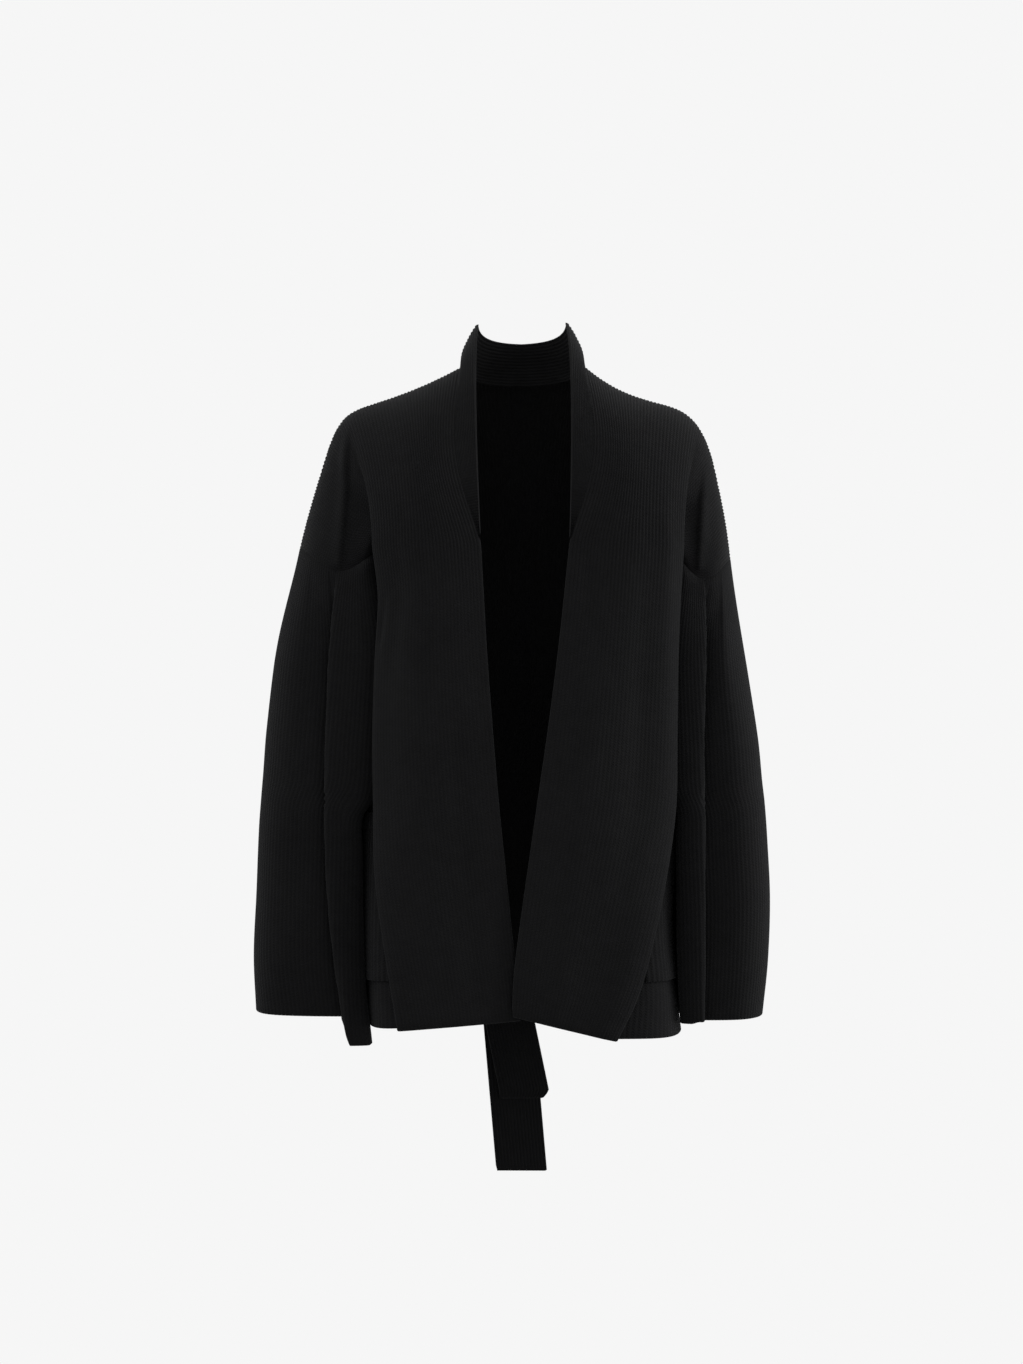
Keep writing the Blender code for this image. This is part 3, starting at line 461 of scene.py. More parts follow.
# ---------------------------------------------------------------- neckband
def band_rows(side, taus, ks, r):
    """Half of the neckband, outward: rows up the front (taus), then round the back
    neck (ks); columns r from the seam (0) to the free edge (1)."""
    sec = front_section(side, UNDERARM_Z, [0.0])
    edge = FRONT[side][0][1]
    out = []
    r = np.asarray(r, float)
    for kind, v in [("front", t) for t in taus] + [("back", k) for k in ks]:
        if kind == "front":
            a = upper(side, [0.0], v, sec, 1.0)[0]
            lean = 0.049 + 0.0035 * np.sin(pi * v) + (edge - 0.049) * v
            end = 1 - 0.75 * float(smooth(0.80, 0.97, v))      # it runs out into the front edge
            b = np.array([min(lean, a[0] - 0.004 * end),
                          a[1] + (-0.004 + 0.006 * smooth(0.0, 0.6, v)) * end,
                          a[2] + BAND_RISE * (1 - v) ** 1.6])
            flat = float(smooth(0.0, 0.7, v))
        else:
            a = neck_back(side, [v])[0]
            b = np.array([(SHOULDER[side][0][0] - BAND_IN) * np.sin(v * pi / 2),
                          CHEST_Y - 0.004 * v + (BACK_NECK_Y - 0.012 - CHEST_Y) * np.cos(v * pi / 2),
                          a[2] + BAND_RISE - 0.002 * (1 - v)])
            flat = 0.0
        lean = r ** (2.2 - 1.2 * flat)
        row = a + np.column_stack([lean, lean, r]) * (b - a)
        row[:, 0] += 0.0012 * np.sin(pi * np.minimum(1.0, r * 1.6)) * (1 - flat)
        out.append(row)
    return np.array(out)


def band_grid(taus, ks, r):
    """The whole neckband: right front, back neck, left front."""
    right = band_rows("R", taus[::-1], ks[::-1][1:], r)
    left = band_rows("L", taus[::-1], ks[::-1][1:], r)
    right[:, :, 0] *= -1
    middle = 0.5 * (right[-1] + left[-1])
    middle[:, 0] = 0.0
    return np.concatenate([right[:-1], middle[None], left[:-1][::-1]])


def grid_normals(g):
    n = np.cross(np.gradient(g, axis=1), np.gradient(g, axis=0))
    return n / np.linalg.norm(n, axis=2)[:, :, None]


def on_back(back, u_columns, u, z, out):
    """Points on the outside of the back panel, at places u across it and a height."""
    n = grid_normals(back)
    pts = []
    for ui in u:
        col = np.array([[np.interp(ui, u_columns, back[i, :, k]) for k in range(3)]
                        for i in range(len(back))])
        nor = np.array([[np.interp(ui, u_columns, n[i, :, k]) for k in range(3)]
                        for i in range(len(back))])
        order = np.argsort(col[:, 2])
        p = np.array([np.interp(z, col[order, 2], col[order, k]) for k in range(3)])
        q = np.array([np.interp(z, col[order, 2], nor[order, k]) for k in range(3)])
        q[2] = 0
        q /= np.linalg.norm(q)
        if q[1] < 0:
            q = -q
        pts.append(p + q * out)
    return np.array(pts)


# ---------------------------------------------------------------- knit
RIB = 0.0038             # from one rib to the next
RIB_DEPTH = 0.00050      # half the height of a rib
SHEET = 0.0022           # thickness between the roots of the ribs
COURSE = 0.0030          # height of one row of stitches
ACROSS = 4               # columns to a rib
FRONT_RIBS = 76
NECK_RIBS = 18
BACK_RIBS = 62
SLEEVE_RIBS = 114

# Soft creases, troughs (-) and ridges (+), each from one place on the panel to another:
# place across, height, place across, height, width, depth, fade in, fade out.
CREASE_COLUMNS = ("from_s", "from_z", "to_s", "to_z", "width", "depth", "fade_in", "fade_out")
FRONT_CREASES = {
    "R": (
        (0.335, -0.120, 0.385, -0.560, 0.045, -0.0024, 0.30, 0.40),
        (0.245, -0.230, 0.260, -0.700, 0.050, 0.0020, 0.30, 0.20),
        (0.120, -0.300, 0.150, -0.716, 0.040, -0.0018, 0.40, 0.10),
        (0.410, -0.240, 0.442, -0.330, 0.020, -0.0030, 0.50, 0.50),   # short dent at the fold
        (0.300, -0.045, 0.220, -0.240, 0.040, 0.0016, 0.40, 0.40),
        (0.620, -0.030, 0.700, -0.130, 0.035, -0.0020, 0.40, 0.40),
    ),
    "L": (
        (0.365, -0.090, 0.400, -0.520, 0.040, 0.0026, 0.30, 0.40),
        (0.290, -0.180, 0.310, -0.640, 0.045, -0.0024, 0.30, 0.30),
        (0.140, -0.260, 0.180, -0.720, 0.045, 0.0018, 0.40, 0.10),
        (0.410, -0.560, 0.380, -0.726, 0.040, 0.0022, 0.40, 0.00),
        (0.050, -0.120, 0.110, -0.330, 0.035, -0.0014, 0.40, 0.40),
        (0.640, -0.040, 0.720, -0.140, 0.035, -0.0020, 0.40, 0.40),
    ),
}
# The fold that hangs from the shoulder tip over the arm, steep on its inner side:
# distance out from the centre, height.
ARM_FOLD_COLUMNS = ("x", "z")
ARM_FOLD = {
    "R": ((0.1885, -0.062), (0.1920, -0.138), (0.1975, -0.216)),
    "L": ((0.1995, -0.108), (0.1955, -0.148), (0.1910, -0.220)),
}
ARM_FOLD_WIDTH = 0.0075
ARM_FOLD_DEPTH = 0.0042
SLEEVE_CREASES = {
    "R": (
        (0.110, -0.280, 0.130, -0.640, 0.060, -0.0012, 0.40, 0.40),
        (0.210, -0.320, 0.200, -0.700, 0.050, 0.0012, 0.40, 0.20),
        (0.700, -0.240, 0.720, -0.600, 0.040, -0.0050, 0.30, 0.40),
        (0.830, -0.300, 0.800, -0.700, 0.040, 0.0040, 0.30, 0.20),
        (0.930, -0.220, 0.900, -0.480, 0.030, -0.0030, 0.30, 0.50),
    ),
    "L": (
        (0.200, -0.230, 0.215, -0.690, 0.040, -0.0036, 0.25, 0.15),   # hollow beside the fold
        (0.095, -0.280, 0.080, -0.640, 0.060, 0.0014, 0.40, 0.40),
        (0.690, -0.250, 0.710, -0.620, 0.040, -0.0050, 0.30, 0.40),
        (0.820, -0.280, 0.840, -0.700, 0.040, 0.0040, 0.30, 0.20),
        (0.940, -0.230, 0.900, -0.460, 0.030, -0.0030, 0.30, 0.50),
    ),
}
BACK_CREASES = (
    (-0.560, -0.110, -0.500, -0.700, 0.045, 0.0050, 0.30, 0.10),
    (-0.250, -0.180, -0.230, -0.700, 0.040, -0.0040, 0.30, 0.10),
    (0.050, -0.150, 0.030, -0.600, 0.040, 0.0035, 0.35, 0.30),
    (0.300, -0.120, 0.280, -0.700, 0.040, -0.0045, 0.30, 0.10),
    (0.560, -0.120, 0.570, -0.720, 0.045, 0.0050, 0.30, 0.10),
    (-0.780, -0.060, -0.860, -0.200, 0.030, -0.0040, 0.35, 0.10),
    (0.780, -0.060, 0.860, -0.200, 0.030, -0.0040, 0.35, 0.10),
)


def rib_height(phase):
    """Round ribs with narrow valleys: -1 in the valley, 1 on top."""
    return 1.0 - 2.0 * np.abs(np.cos(pi * phase)) ** 2.6


def outward(g, n, centre):
    """Turn the normals away from a centre line."""
    away = g - centre
    if np.sum(n[:, :, 0] * away[:, :, 0] + n[:, :, 1] * away[:, :, 1]) < 0:
        return -n
    return n


def crease(a, z, creases):
    """Sum of the soft creases at places a across and heights z."""
    d = np.zeros(np.broadcast(a, z).shape)
    for a0, z0, a1, z1, width, depth, rise, fall in creases:
        f = (z - z0) / (z1 - z0)
        line = a0 + (a1 - a0) * f + 0.12 * width * np.sin(7 * f + 9 * a0)
        along = smooth(0.0, rise, f) if rise else (f >= 0).astype(float)
        if fall:
            along = along * (1 - smooth(1 - fall, 1.0, f))
        uneven = 1 + 0.22 * np.sin(11 * f + 31 * a0)
        d += depth * np.exp(-((a - line) / width) ** 2) * along * uneven
    return d


def arm_fold(side, s, x, z):
    """Height of the fold over the arm."""
    path = np.asarray(ARM_FOLD[side])
    line = np.interp(-z, -path[:, 1], path[:, 0])
    off = (x - line) / ARM_FOLD_WIDTH
    off = np.where(off < 0, off * 3.2, off)
    start, end = path[0, 1], path[-1, 1]
    along = smooth(-start, -start + 0.045, -z) * (1 - smooth(-end, -end + 0.010, -z))
    along = along * (s > 0.40)
    return ARM_FOLD_DEPTH * np.exp(-off ** 2) * along * (1 + 0.15 * np.sin(60 * z))


def fabric(name, g, n, phase, run, closed=False, depth=RIB_DEPTH, thick=SHEET, soft=0.0011,
           fade=None):
    """A double-faced ribbed sheet on the grid g with outward normals n.
    phase: rib number of each column; run: length along the ribs at each point."""
    rows, cols = g.shape[:2]
    phase = np.broadcast_to(phase, (rows, cols))
    relief = depth if fade is None else depth * fade
    outer = g + n * (thick / 2 + relief * rib_height(phase))[:, :, None]
    inner = g - n * (thick / 2 + relief * rib_height(phase + 0.5))[:, :, None]
    count = rows * cols
    verts = [outer.reshape(-1, 3), inner.reshape(-1, 3)]
    uv = [np.stack([phase, run / COURSE], 2).reshape(-1, 2)] * 2
    i, j = np.meshgrid(np.arange(rows - 1), np.arange(cols if closed else cols - 1), indexing="ij")
    k = (j + 1) % cols
    quads = np.stack([i * cols + j, (i + 1) * cols + j, (i + 1) * cols + k, i * cols + k], -1)
    quads = quads.reshape(-1, 4)
    sense = np.cross(outer[1, 0] - outer[0, 0], outer[0, 1] - outer[0, 0]) @ n[0, 0]
    if sense < 0:
        quads = quads[:, ::-1]
    faces = [quads, quads[:, ::-1] + count]
    # rims: from the outer face over a rounded edge to the inner face
    loops = []
    if closed:
        loops.append((np.arange(cols), g[0] - g[1], True))
        loops.append((((rows - 1) * cols + np.arange(cols))[::-1], (g[-1] - g[-2])[::-1], True))
    else:
        ring = np.concatenate([np.arange(cols), np.arange(1, rows) * cols + cols - 1,
                               (rows - 1) * cols + np.arange(cols - 1)[::-1],
                               np.arange(1, rows - 1)[::-1] * cols])
        edge = np.concatenate([g[0] - g[1], (g[:, -1] - g[:, -2])[1:],
                               (g[-1] - g[-2])[:-1][::-1], (g[:, 0] - g[:, 1])[1:-1][::-1]])
        loops.append((ring, edge, True))
    total = 2 * count
    flat_n = n.reshape(-1, 3)
    for ring, edge, _ in loops:
        edge = edge / np.linalg.norm(edge, axis=1)[:, None]
        mid = 0.5 * (verts[0][ring] + verts[1][ring]) + edge * soft
        verts.append(mid)
        uv.append(uv[0][ring])
        m = total + np.arange(len(ring))
        total += len(ring)
        a, b = ring, np.roll(ring, -1)
        ma, mb = m, np.roll(m, -1)
        strip = np.concatenate([np.stack([a, b, mb, ma], 1), np.stack([ma, mb, b + count, a + count], 1)])
        e = verts[0][ring[1]] - verts[0][ring[0]]
        face_n = np.cross(e, mid[0] - verts[0][ring[0]])
        if face_n @ (edge[0] + 0.5 * flat_n[ring[0]]) < 0:
            strip = strip[:, ::-1]
        faces.append(strip)
    return make(name, np.concatenate(verts), np.concatenate(faces), np.concatenate(uv))


def make(name, verts, faces, uv):
    mesh = bpy.data.meshes.new(name)
    mesh.vertices.add(len(verts))
    mesh.vertices.foreach_set("co", verts.astype(np.float32).ravel())
    mesh.loops.add(faces.size)
    mesh.loops.foreach_set("vertex_index", faces.astype(np.int32).ravel())
    mesh.polygons.add(len(faces))
    mesh.polygons.foreach_set("loop_start", np.arange(0, faces.size, 4, dtype=np.int32))
    mesh.update(calc_edges=True)
    layer = mesh.uv_layers.new(name="knit")
    layer.data.foreach_set("uv", uv[faces.ravel()].astype(np.float32).ravel())
    mesh.validate()
    mesh.shade_smooth()
    obj = bpy.data.objects.new(name, mesh)
    bpy.context.scene.collection.objects.link(obj)
    return obj


def run_length(g):
    step = np.linalg.norm(np.diff(g, axis=0), axis=2)
    return np.concatenate([np.zeros((1, g.shape[1])), np.cumsum(step, axis=0)])


# ---------------------------------------------------------------- materials
def knit_material(name, base, light, stitch=0.55, fuzz=1.0):
    """Matt wool: slanting stitches on every rib, fibres, slow changes of tone, painted shade in the rib
    valleys, nap.
    """
    mat = bpy.data.materials.new(name)
    mat.use_nodes = True
    nt = mat.node_tree
    nodes, link = nt.nodes, nt.links.new
    shader = nodes["Principled BSDF"]

    def math(op, a, b=None, c=None):
        node = nodes.new("ShaderNodeMath")
        node.operation = op
        for k, v in enumerate((a, b, c)):
            if v is None:
                continue
            if isinstance(v, (int, float)):
                node.inputs[k].default_value = v
            else:
                link(v, node.inputs[k])
        return node.outputs[0]

    uv = nodes.new("ShaderNodeUVMap")
    uv.uv_map = "knit"
    split = nodes.new("ShaderNodeSeparateXYZ")
    link(uv.outputs[0], split.inputs[0])
    u, v = split.outputs[0], split.outputs[1]
    coord = nodes.new("ShaderNodeTexCoord")

    def noise(scale, detail, vector=None, rough=0.55):
        node = nodes.new("ShaderNodeTexNoise")
        node.inputs["Scale"].default_value = scale
        node.inputs["Detail"].default_value = detail
        node.inputs["Roughness"].default_value = rough
        link(vector if vector is not None else coord.outputs["Object"], node.inputs["Vector"])
        return node.outputs["Fac"]

    # one stitch: two legs that lean together on the rib
    frac = math("FRACT", u)
    centre = math("ABSOLUTE", math("SUBTRACT", frac, 0.5))
    lean = math("MULTIPLY", centre, 1.3)
    wave = math("SINE", math("MULTIPLY", math("ADD", v, lean), 2 * pi))
    on_rib = math("SUBTRACT", 1.0, math("MULTIPLY", centre, 1.5))
    stitch_h = math("MULTIPLY", wave, on_rib)
    fibre = noise(900.0, 2.0)
    pill = noise(210.0, 3.0)
    height = math("ADD", math("MULTIPLY", stitch_h, stitch),
                  math("ADD", math("MULTIPLY", fibre, 0.9 * fuzz), math("MULTIPLY", pill, 1.2 * fuzz)))
    bump = nodes.new("ShaderNodeBump")
    bump.inputs["Strength"].default_value = 0.55
    bump.inputs["Distance"].default_value = 0.0006
    link(height, bump.inputs["Height"])
    link(bump.outputs["Normal"], shader.inputs["Normal"])

    # tone: painted shade, darker in the valleys between ribs; lighter fibres on top, slow patches
    valley = math("MULTIPLY", math("POWER", math("MULTIPLY", centre, 2.0), 4.0), -0.20)
    slow = math("MULTIPLY", math("SUBTRACT", noise(9.0, 3.0), 0.5), 0.55)
    fine = math("MULTIPLY", math("SUBTRACT", fibre, 0.5), 0.9)
    mid = math("MULTIPLY", math("SUBTRACT", noise(75.0, 2.0), 0.5), 0.5)
    tone = math("ADD", math("ADD", math("ADD", 0.5, valley), slow), math("ADD", fine, mid))
    ramp = nodes.new("ShaderNodeMix")
    ramp.data_type = "RGBA"
    ramp.clamp_factor = True
    link(tone, ramp.inputs["Factor"])
    ramp.inputs["A"].default_value = base
    ramp.inputs["B"].default_value = light
    link(ramp.outputs["Result"], shader.inputs["Base Color"])
    shader.inputs["Roughness"].default_value = 0.92
    shader.inputs["Metallic"].default_value = 0.0
    shader.inputs["Specular IOR Level"].default_value = 0.10
    shader.inputs["Sheen Weight"].default_value = 0.035
    shader.inputs["Sheen Roughness"].default_value = 0.45
    shader.inputs["Sheen Tint"].default_value = (0.85, 0.87, 0.90, 1.0)
    return mat


BODY_KNIT = knit_material("rib_knit", (0.0032, 0.0032, 0.0034, 1), (0.0085, 0.0085, 0.0090, 1))
BAND_KNIT = knit_material("band_knit", (0.0042, 0.0042, 0.0044, 1), (0.0104, 0.0104, 0.0110, 1), 0.4, 0.8)
# the belt: the body's knit made darker, painted shade for the belt hanging in the garment's shadow at the
# back
PAINTED_SHADE_BELT_KNIT = knit_material("belt_knit_painted_shade", (0.0022, 0.0022, 0.0024, 1), (0.0060, 0.0060, 0.0064, 1), 0.4, 0.8)


# ---------------------------------------------------------------- pieces
def finish(obj, node, material):
    obj.data.materials.append(material)
    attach(obj, "root")
    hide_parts(node)
    return obj


def fine_front(side):
    s = np.linspace(0, 1, FRONT_RIBS * ACROSS + 1)
    taus = np.linspace(0, 1, 81)[:-1]
    end = FRONT[side][-1][0]
    levels = np.linspace(0, 1, 62)
    section = front_section(side, UNDERARM_Z, s)
    rows = [upper(side, s, tau, section, 1.0) for tau in taus]
    last = front_section(side, end, s)[:, 0]
    _, ex, _, _, rx, _, _, sx = FRONT[side][-1]
    hem = np.interp(last, (ex, rx, sx), HEM[side])
    for f in levels:
        z = UNDERARM_Z + f * (end - UNDERARM_Z)
        rows.append(np.column_stack([front_section(side, z, s), UNDERARM_Z + f * (hem - UNDERARM_Z)]))
    g = np.array(rows)
    g[:, :, 0] *= sign(side)
    n = grid_normals(g) * (-1 if side == "L" else 1)
    lift = crease(s[None, :], g[:, :, 2], FRONT_CREASES[side]) 
    lift = lift + arm_fold(side, s[None, :], sign(side) * g[:, :, 0], g[:, :, 2])
    g = g + n * lift[:, :, None]
    n = grid_normals(g) * (-1 if side == "L" else 1)
    return s, g, n


def fine_back():
    half = np.concatenate([np.linspace(0, NECK_SHARE, NECK_RIBS * ACROSS + 1),
                           np.linspace(NECK_SHARE, 1, BACK_RIBS * ACROSS + 1)[1:]])
    u = np.concatenate([-half[::-1][:-1], half])
    ribs = np.concatenate([np.linspace(0, NECK_RIBS, NECK_RIBS * ACROSS + 1),
                           NECK_RIBS + np.linspace(0, BACK_RIBS, BACK_RIBS * ACROSS + 1)[1:]])
    phase = np.concatenate([-ribs[::-1][:-1], ribs])
    g = back_grid(u, np.linspace(0, 1, 31)[:-1], np.linspace(0, 1, 46))
    n = grid_normals(g)
    if n[:, :, 1].mean() < 0:
        n = -n
    g = g + n * crease(u[None, :], g[:, :, 2], BACK_CREASES)[:, :, None]
    n = grid_normals(g)
    if n[:, :, 1].mean() < 0:
        n = -n
    return u, phase, g, n


def closed_normals(g):
    wide = np.concatenate([g[:, -1:], g, g[:, :1]], axis=1)
    return grid_normals(wide)[:, 1:-1]


def fine_sleeve(side):
    phi = np.linspace(0, 1, SLEEVE_RIBS * ACROSS + 1)[:-1]
    g = sleeve_grid(side, phi, np.concatenate([np.linspace(0, 0.3, 28)[:-1], np.linspace(0.3, 1, 44)]),
                    0.0, 0.0, np.linspace(0, 1, 161))
    # the sleeve lies against the body under the arm
    touch = np.exp(-((phi[None, :] - 0.5) / 0.075) ** 2) * (1 - smooth(0.24, 0.36, -g[:, :, 2]))
    g[:, :, 0] -= sign(side) * 0.0036 * touch
    # and the front of its top is filled out to the height of the shoulder piece
    under = g[:1, :, 2] - g[:, :, 2]
    g[:, :, 1] -= (0.0064 * np.exp(-((phi[None, :] - 0.37) / 0.13) ** 2)
                   * smooth(0.0, 0.008, under) * (1 - smooth(0.030, 0.110, under)))
    centre = g.mean(axis=1, keepdims=True)
    n = outward(g, closed_normals(g), centre)
    g = g + n * crease(phi[None, :], g[:, :, 2], SLEEVE_CREASES[side])[:, :, None]
    n = outward(g, closed_normals(g), centre)
    return phi, g, n


fronts = {}
for side in ("R", "L"):
    s, g, n = fine_front(side)
    fronts[side] = (s, g, n)
    finish(
        fabric("front_" + side + "_knit", g, n, s * FRONT_RIBS, run_length(g),
               fade=1.0 - 0.55 * smooth(0.14, 0.28, -g[:, :, 2])),
        "front_" + side, BODY_KNIT)

u, phase, back, back_n = fine_back()
finish(fabric("back_knit", back, back_n, phase, run_length(back),
                             fade=1.0 - 0.35 * smooth(0.16, 0.30, -back[:, :, 2])),
                      "back", BODY_KNIT)

for side in ("R", "L"):
    phi, g, n = fine_sleeve(side)
    finish(
        fabric("sleeve_" + side + "_knit", g, n, phi * SLEEVE_RIBS, run_length(g), closed=True,
               fade=np.full(g.shape[:2], 0.55)),
        "sleeve_" + side, BODY_KNIT)

# the neckband: ribs along its length
r = np.linspace(0, 1, 13 * ACROSS + 1)
g = band_grid(np.linspace(0, 0.975, 60), np.linspace(0, 1, 26), r)
n = outward(g, grid_normals(g), np.array([0.0, 0.01, 0.0]))
run = np.concatenate([[0], np.cumsum(np.linalg.norm(np.diff(g[:, 0], axis=0), axis=1))])
run = np.broadcast_to(run[:, None], g.shape[:2])
finish(fabric("collar_knit", g, n, r * 13, run, thick=0.0020),
                        "collar", BAND_KNIT)

# patch pockets on the layer folded back
for side in ("R", "L"):
    s, g, n = fronts[side]
    cols = np.where((s >= 0.735) & (s <= 0.970))[0]
    z = g[:, cols[0], 2]
    rows = np.where((z <= POCKET_TOP + 0.002) & (z >= POCKET_BOTTOM - 0.002))[0]
    p = g[rows[0]:rows[-1] + 1, cols[0]:cols[-1] + 1]
    m = n[rows[0]:rows[-1] + 1, cols[0]:cols[-1] + 1]
    down = (p[0, -1, 2] - p[:, -1, 2])[:, None]
    across = np.linspace(0, 1, p.shape[1])[None, :]
    gape = POCKET_GAPE * (1 - smooth(0.0, 0.075, down)) * smooth(0.35, 0.85, across)
    p = p + m * (WALL + GAP + 0.0007 + gape)[:, :, None]
    finish(
        fabric("pocket_" + side + "_knit", p, m, s[cols] * FRONT_RIBS, run_length(p)),
        "pocket_" + side, BODY_KNIT)

# the belt at the back: two halves, the knot and two ends
BELT_RIBS = 15
out = WALL / 2 + GAP + BELT_T / 2 + 0.0012
for side, places in (("R", (-0.80, -KNOT_U - 0.085)), ("L", (-KNOT_U + 0.085, 0.80))):
    cols = np.linspace(places[0], places[1], 70)
    zs = np.linspace(WAIST_Z + BELT_W / 2, WAIST_Z - BELT_W / 2, BELT_RIBS * ACROSS + 1)
    coarse = np.array([on_back(back[:, ::4], u[::4], cols, z, out) for z in zs[::ACROSS]])
    g = np.array([[np.interp(zs, zs[::ACROSS][::-1] if zs[0] < zs[-1] else zs[::ACROSS], coarse[:, c, k])
                   if zs[0] < zs[-1] else np.interp(-zs, -zs[::ACROSS], coarse[:, c, k])
                   for k in range(3)] for c in range(len(cols))])      # cols, 3, zs
    g = np.transpose(g, (0, 2, 1))                                    # along the belt, across it
    n = grid_normals(g)
    if n[:, :, 1].mean() < 0:
        n = -n
    ribs = np.linspace(0, BELT_RIBS, BELT_RIBS * ACROSS + 1)
    finish(
        fabric("belt_side_" + side + "_knit", g, n, ribs, run_length(g), thick=0.0019, depth=0.0004),
        "belt_side_" + side, PAINTED_SHADE_BELT_KNIT)

for name, rows in (("belt_end_long", END_LONG), ("belt_end_short", END_SHORT)):
    rows = np.asarray(rows, float)
    zs = np.linspace(rows[0, 2], rows[-1, 2], 90)
    x, y, w, turn = [np.interp(-zs, -rows[:, 2], rows[:, k]) for k in (0, 1, 3, 4)]
    k = np.linspace(-0.5, 0.5, BELT_RIBS * ACROSS + 1)
    g = np.stack([x[:, None] + np.cos(turn)[:, None] * w[:, None] * k,
                  y[:, None] + np.sin(turn)[:, None] * w[:, None] * k,
                  np.broadcast_to(zs[:, None], (len(zs), len(k)))], 2)
    n = grid_normals(g)
    if n[:, :, 1].mean() < 0:
        n = -n
    ribs = np.linspace(0, BELT_RIBS, BELT_RIBS * ACROSS + 1)
    finish(
        fabric(name + "_knit", g, n, ribs, run_length(g), thick=0.0019, depth=0.0004),
        name, PAINTED_SHADE_BELT_KNIT)

# the knot: a soft bundle under one turn of the belt
x, y, z = KNOT
a = np.linspace(0, 2 * pi, 61)[:-1]
b = np.linspace(-pi / 2 + 0.04, pi / 2 - 0.04, 41)
A, B = np.meshgrid(a, b)


def power(v, e):
    return np.sign(v) * np.abs(v) ** e


hx, hy, hz = [0.5 * v for v in KNOT_SIZE]
bundle = np.stack([hx * power(np.cos(B), 0.5) * power(np.cos(A), 0.6),
                   hy * power(np.cos(B), 0.5) * power(np.sin(A), 0.7),
                   hz * power(np.sin(B), 0.7)], 2)
bundle *= (1 - 0.06 * np.abs(np.sin(5 * A + 2 * B)) ** 3)[:, :, None]
bundle = bundle * 0.95 + np.array(KNOT)
verts = bundle.reshape(-1, 3)
cols = len(a)
faces = [[i * cols + j, i * cols + (j + 1) % cols, (i + 1) * cols + (j + 1) % cols, (i + 1) * cols + j]
         for i in range(len(b) - 1) for j in range(cols)]
uv = np.stack([B * 5, A * 5], 2).reshape(-1, 2)
knot = make("belt_knot_knit", verts, np.array(faces), uv)
finish(knot, "belt_knot", PAINTED_SHADE_BELT_KNIT)

# one turn of the belt over the bundle
t = np.linspace(-0.5, 0.5, 12 * ACROSS + 1)
v = np.linspace(-1.25, 1.25, 60)
V, T = np.meshgrid(v, t, indexing="ij")
pinch = 1 - 0.22 * np.abs(V) ** 2
turn = np.stack([x + T * 0.034 * pinch + 0.004 * V,
                 y - 0.004 + (hy + 0.0035) * power(np.cos(V), 0.55) - 0.003 * (2 * T) ** 4,
                 z + (hz - 0.0015) * power(np.sin(V) / np.sin(1.25), 0.9)], 2)
n = grid_normals(turn)
if n[:, :, 1].mean() < 0:
    n = -n
wrap = fabric("belt_turn_knit", turn, n, (t + 0.5) * 12, run_length(turn), thick=0.0019, depth=0.0004)
wrap.data.materials.append(PAINTED_SHADE_BELT_KNIT)
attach(wrap, "root")

# ---------------------------------------------------------------- studio
PALE = 0.922


def stage_plane(name, size, location, rotation=(0, 0, 0)):
    mesh = bpy.data.meshes.new(name)
    h = size / 2
    mesh.from_pydata([(-h, -h, 0), (h, -h, 0), (h, h, 0), (-h, h, 0)], [], [(0, 1, 2, 3)])
    obj = bpy.data.objects.new(name, mesh)
    obj.location = location
    obj.rotation_euler = rotation
    bpy.context.scene.collection.objects.link(obj)
    mat = bpy.data.materials.new(name)
    mat.use_nodes = True
    shader = mat.node_tree.nodes["Principled BSDF"]
    shader.inputs["Base Color"].default_value = (0.0, 0.0, 0.0, 1)
    shader.inputs["Specular IOR Level"].default_value = 0.0
    shader.inputs["Emission Color"].default_value = (1, 1, 1, 1)
    shader.inputs["Emission Strength"].default_value = PALE
    mesh.materials.append(mat)
    return obj


floor = stage_plane("floor", 160.0, (0, 0, -1.6))
floor.visible_diffuse = False
floor.visible_glossy = False

world = bpy.data.worlds.new("studio")
bpy.context.scene.world = world
world.use_nodes = True
wn, wl = world.node_tree.nodes, world.node_tree.links.new
coord = wn.new("ShaderNodeTexCoord")
split = wn.new("ShaderNodeSeparateXYZ")
wl(coord.outputs["Generated"], split.inputs[0])
ramp = wn.new("ShaderNodeMapRange")
ramp.inputs["From Min"].default_value = -0.75
ramp.inputs["From Max"].default_value = 0.10
ramp.inputs["To Min"].default_value = 0.90
ramp.inputs["To Max"].default_value = PALE
wl(split.outputs[1], ramp.inputs["Value"])
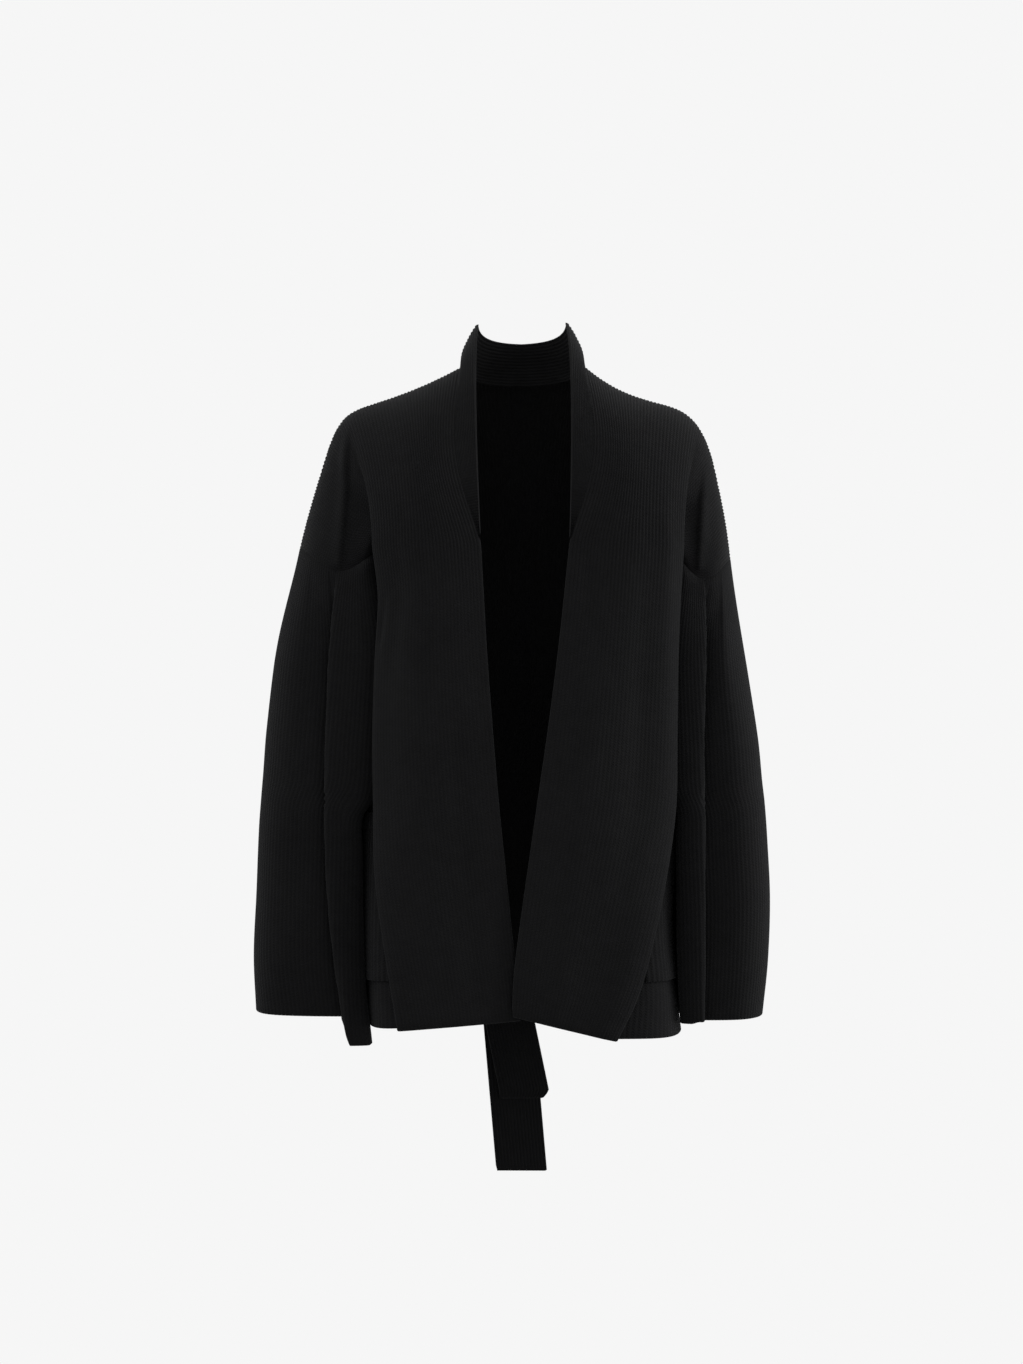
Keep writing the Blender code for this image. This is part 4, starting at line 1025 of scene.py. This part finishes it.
# less light from the floor
under = wn.new("ShaderNodeMapRange")
under.inputs["From Min"].default_value = -0.60
under.inputs["From Max"].default_value = -0.05
under.inputs["To Min"].default_value = 0.40
under.inputs["To Max"].default_value = 1.0
wl(split.outputs[2], under.inputs["Value"])
both = wn.new("ShaderNodeMath")
both.operation = "MULTIPLY"
wl(ramp.outputs[0], both.inputs[0])
wl(under.outputs[0], both.inputs[1])
# and a little less from the left
left = wn.new("ShaderNodeMapRange")
left.inputs["From Min"].default_value = -0.95
left.inputs["From Max"].default_value = -0.22
left.inputs["To Min"].default_value = 0.80
left.inputs["To Max"].default_value = 1.0
wl(split.outputs[0], left.inputs["Value"])
all_sides = wn.new("ShaderNodeMath")
all_sides.operation = "MULTIPLY"
wl(both.outputs[0], all_sides.inputs[0])
wl(left.outputs[0], all_sides.inputs[1])
wl(all_sides.outputs[0], wn["Background"].inputs["Color"])
wn["Background"].inputs["Strength"].default_value = 1.0


def area_light(name, location, target, size, power, colour=(1, 1, 1)):
    data = bpy.data.lights.new(name, "AREA")
    data.shape = "RECTANGLE"
    data.size, data.size_y = size
    data.energy = power
    data.color = colour
    obj = bpy.data.objects.new(name, data)
    obj.location = location
    obj.rotation_euler = (Vector(target) - Vector(location)).to_track_quat("-Z", "Y").to_euler()
    obj.visible_camera = False
    bpy.context.scene.collection.objects.link(obj)
    return obj


area_light("side_right", (2.6, -0.4, 0.1), (0, 0, -0.4), (1.2, 2.4), 46)
area_light("side_left", (-2.6, -0.4, 0.2), (0, 0, -0.4), (1.2, 2.4), 19)
area_light("top", (0.1, -0.2, 2.0), (0, 0, -0.4), (2.4, 1.6), 6)

camera_data = bpy.data.cameras.new("camera")
camera_data.lens = 84.0
camera_data.sensor_width = 36.0
camera = bpy.data.objects.new("camera", camera_data)
camera.location = (-0.01155, -3.5, -0.3464)
camera.rotation_euler = (pi / 2, 0, 0)
camera_data.clip_end = 200.0
bpy.context.scene.collection.objects.link(camera)
bpy.context.scene.camera = camera

view = bpy.context.scene.view_settings
view.view_transform = "Standard"
view.look = "None"
view.exposure = 0.0
view.gamma = 1.0

bpy.context.view_layer.update()
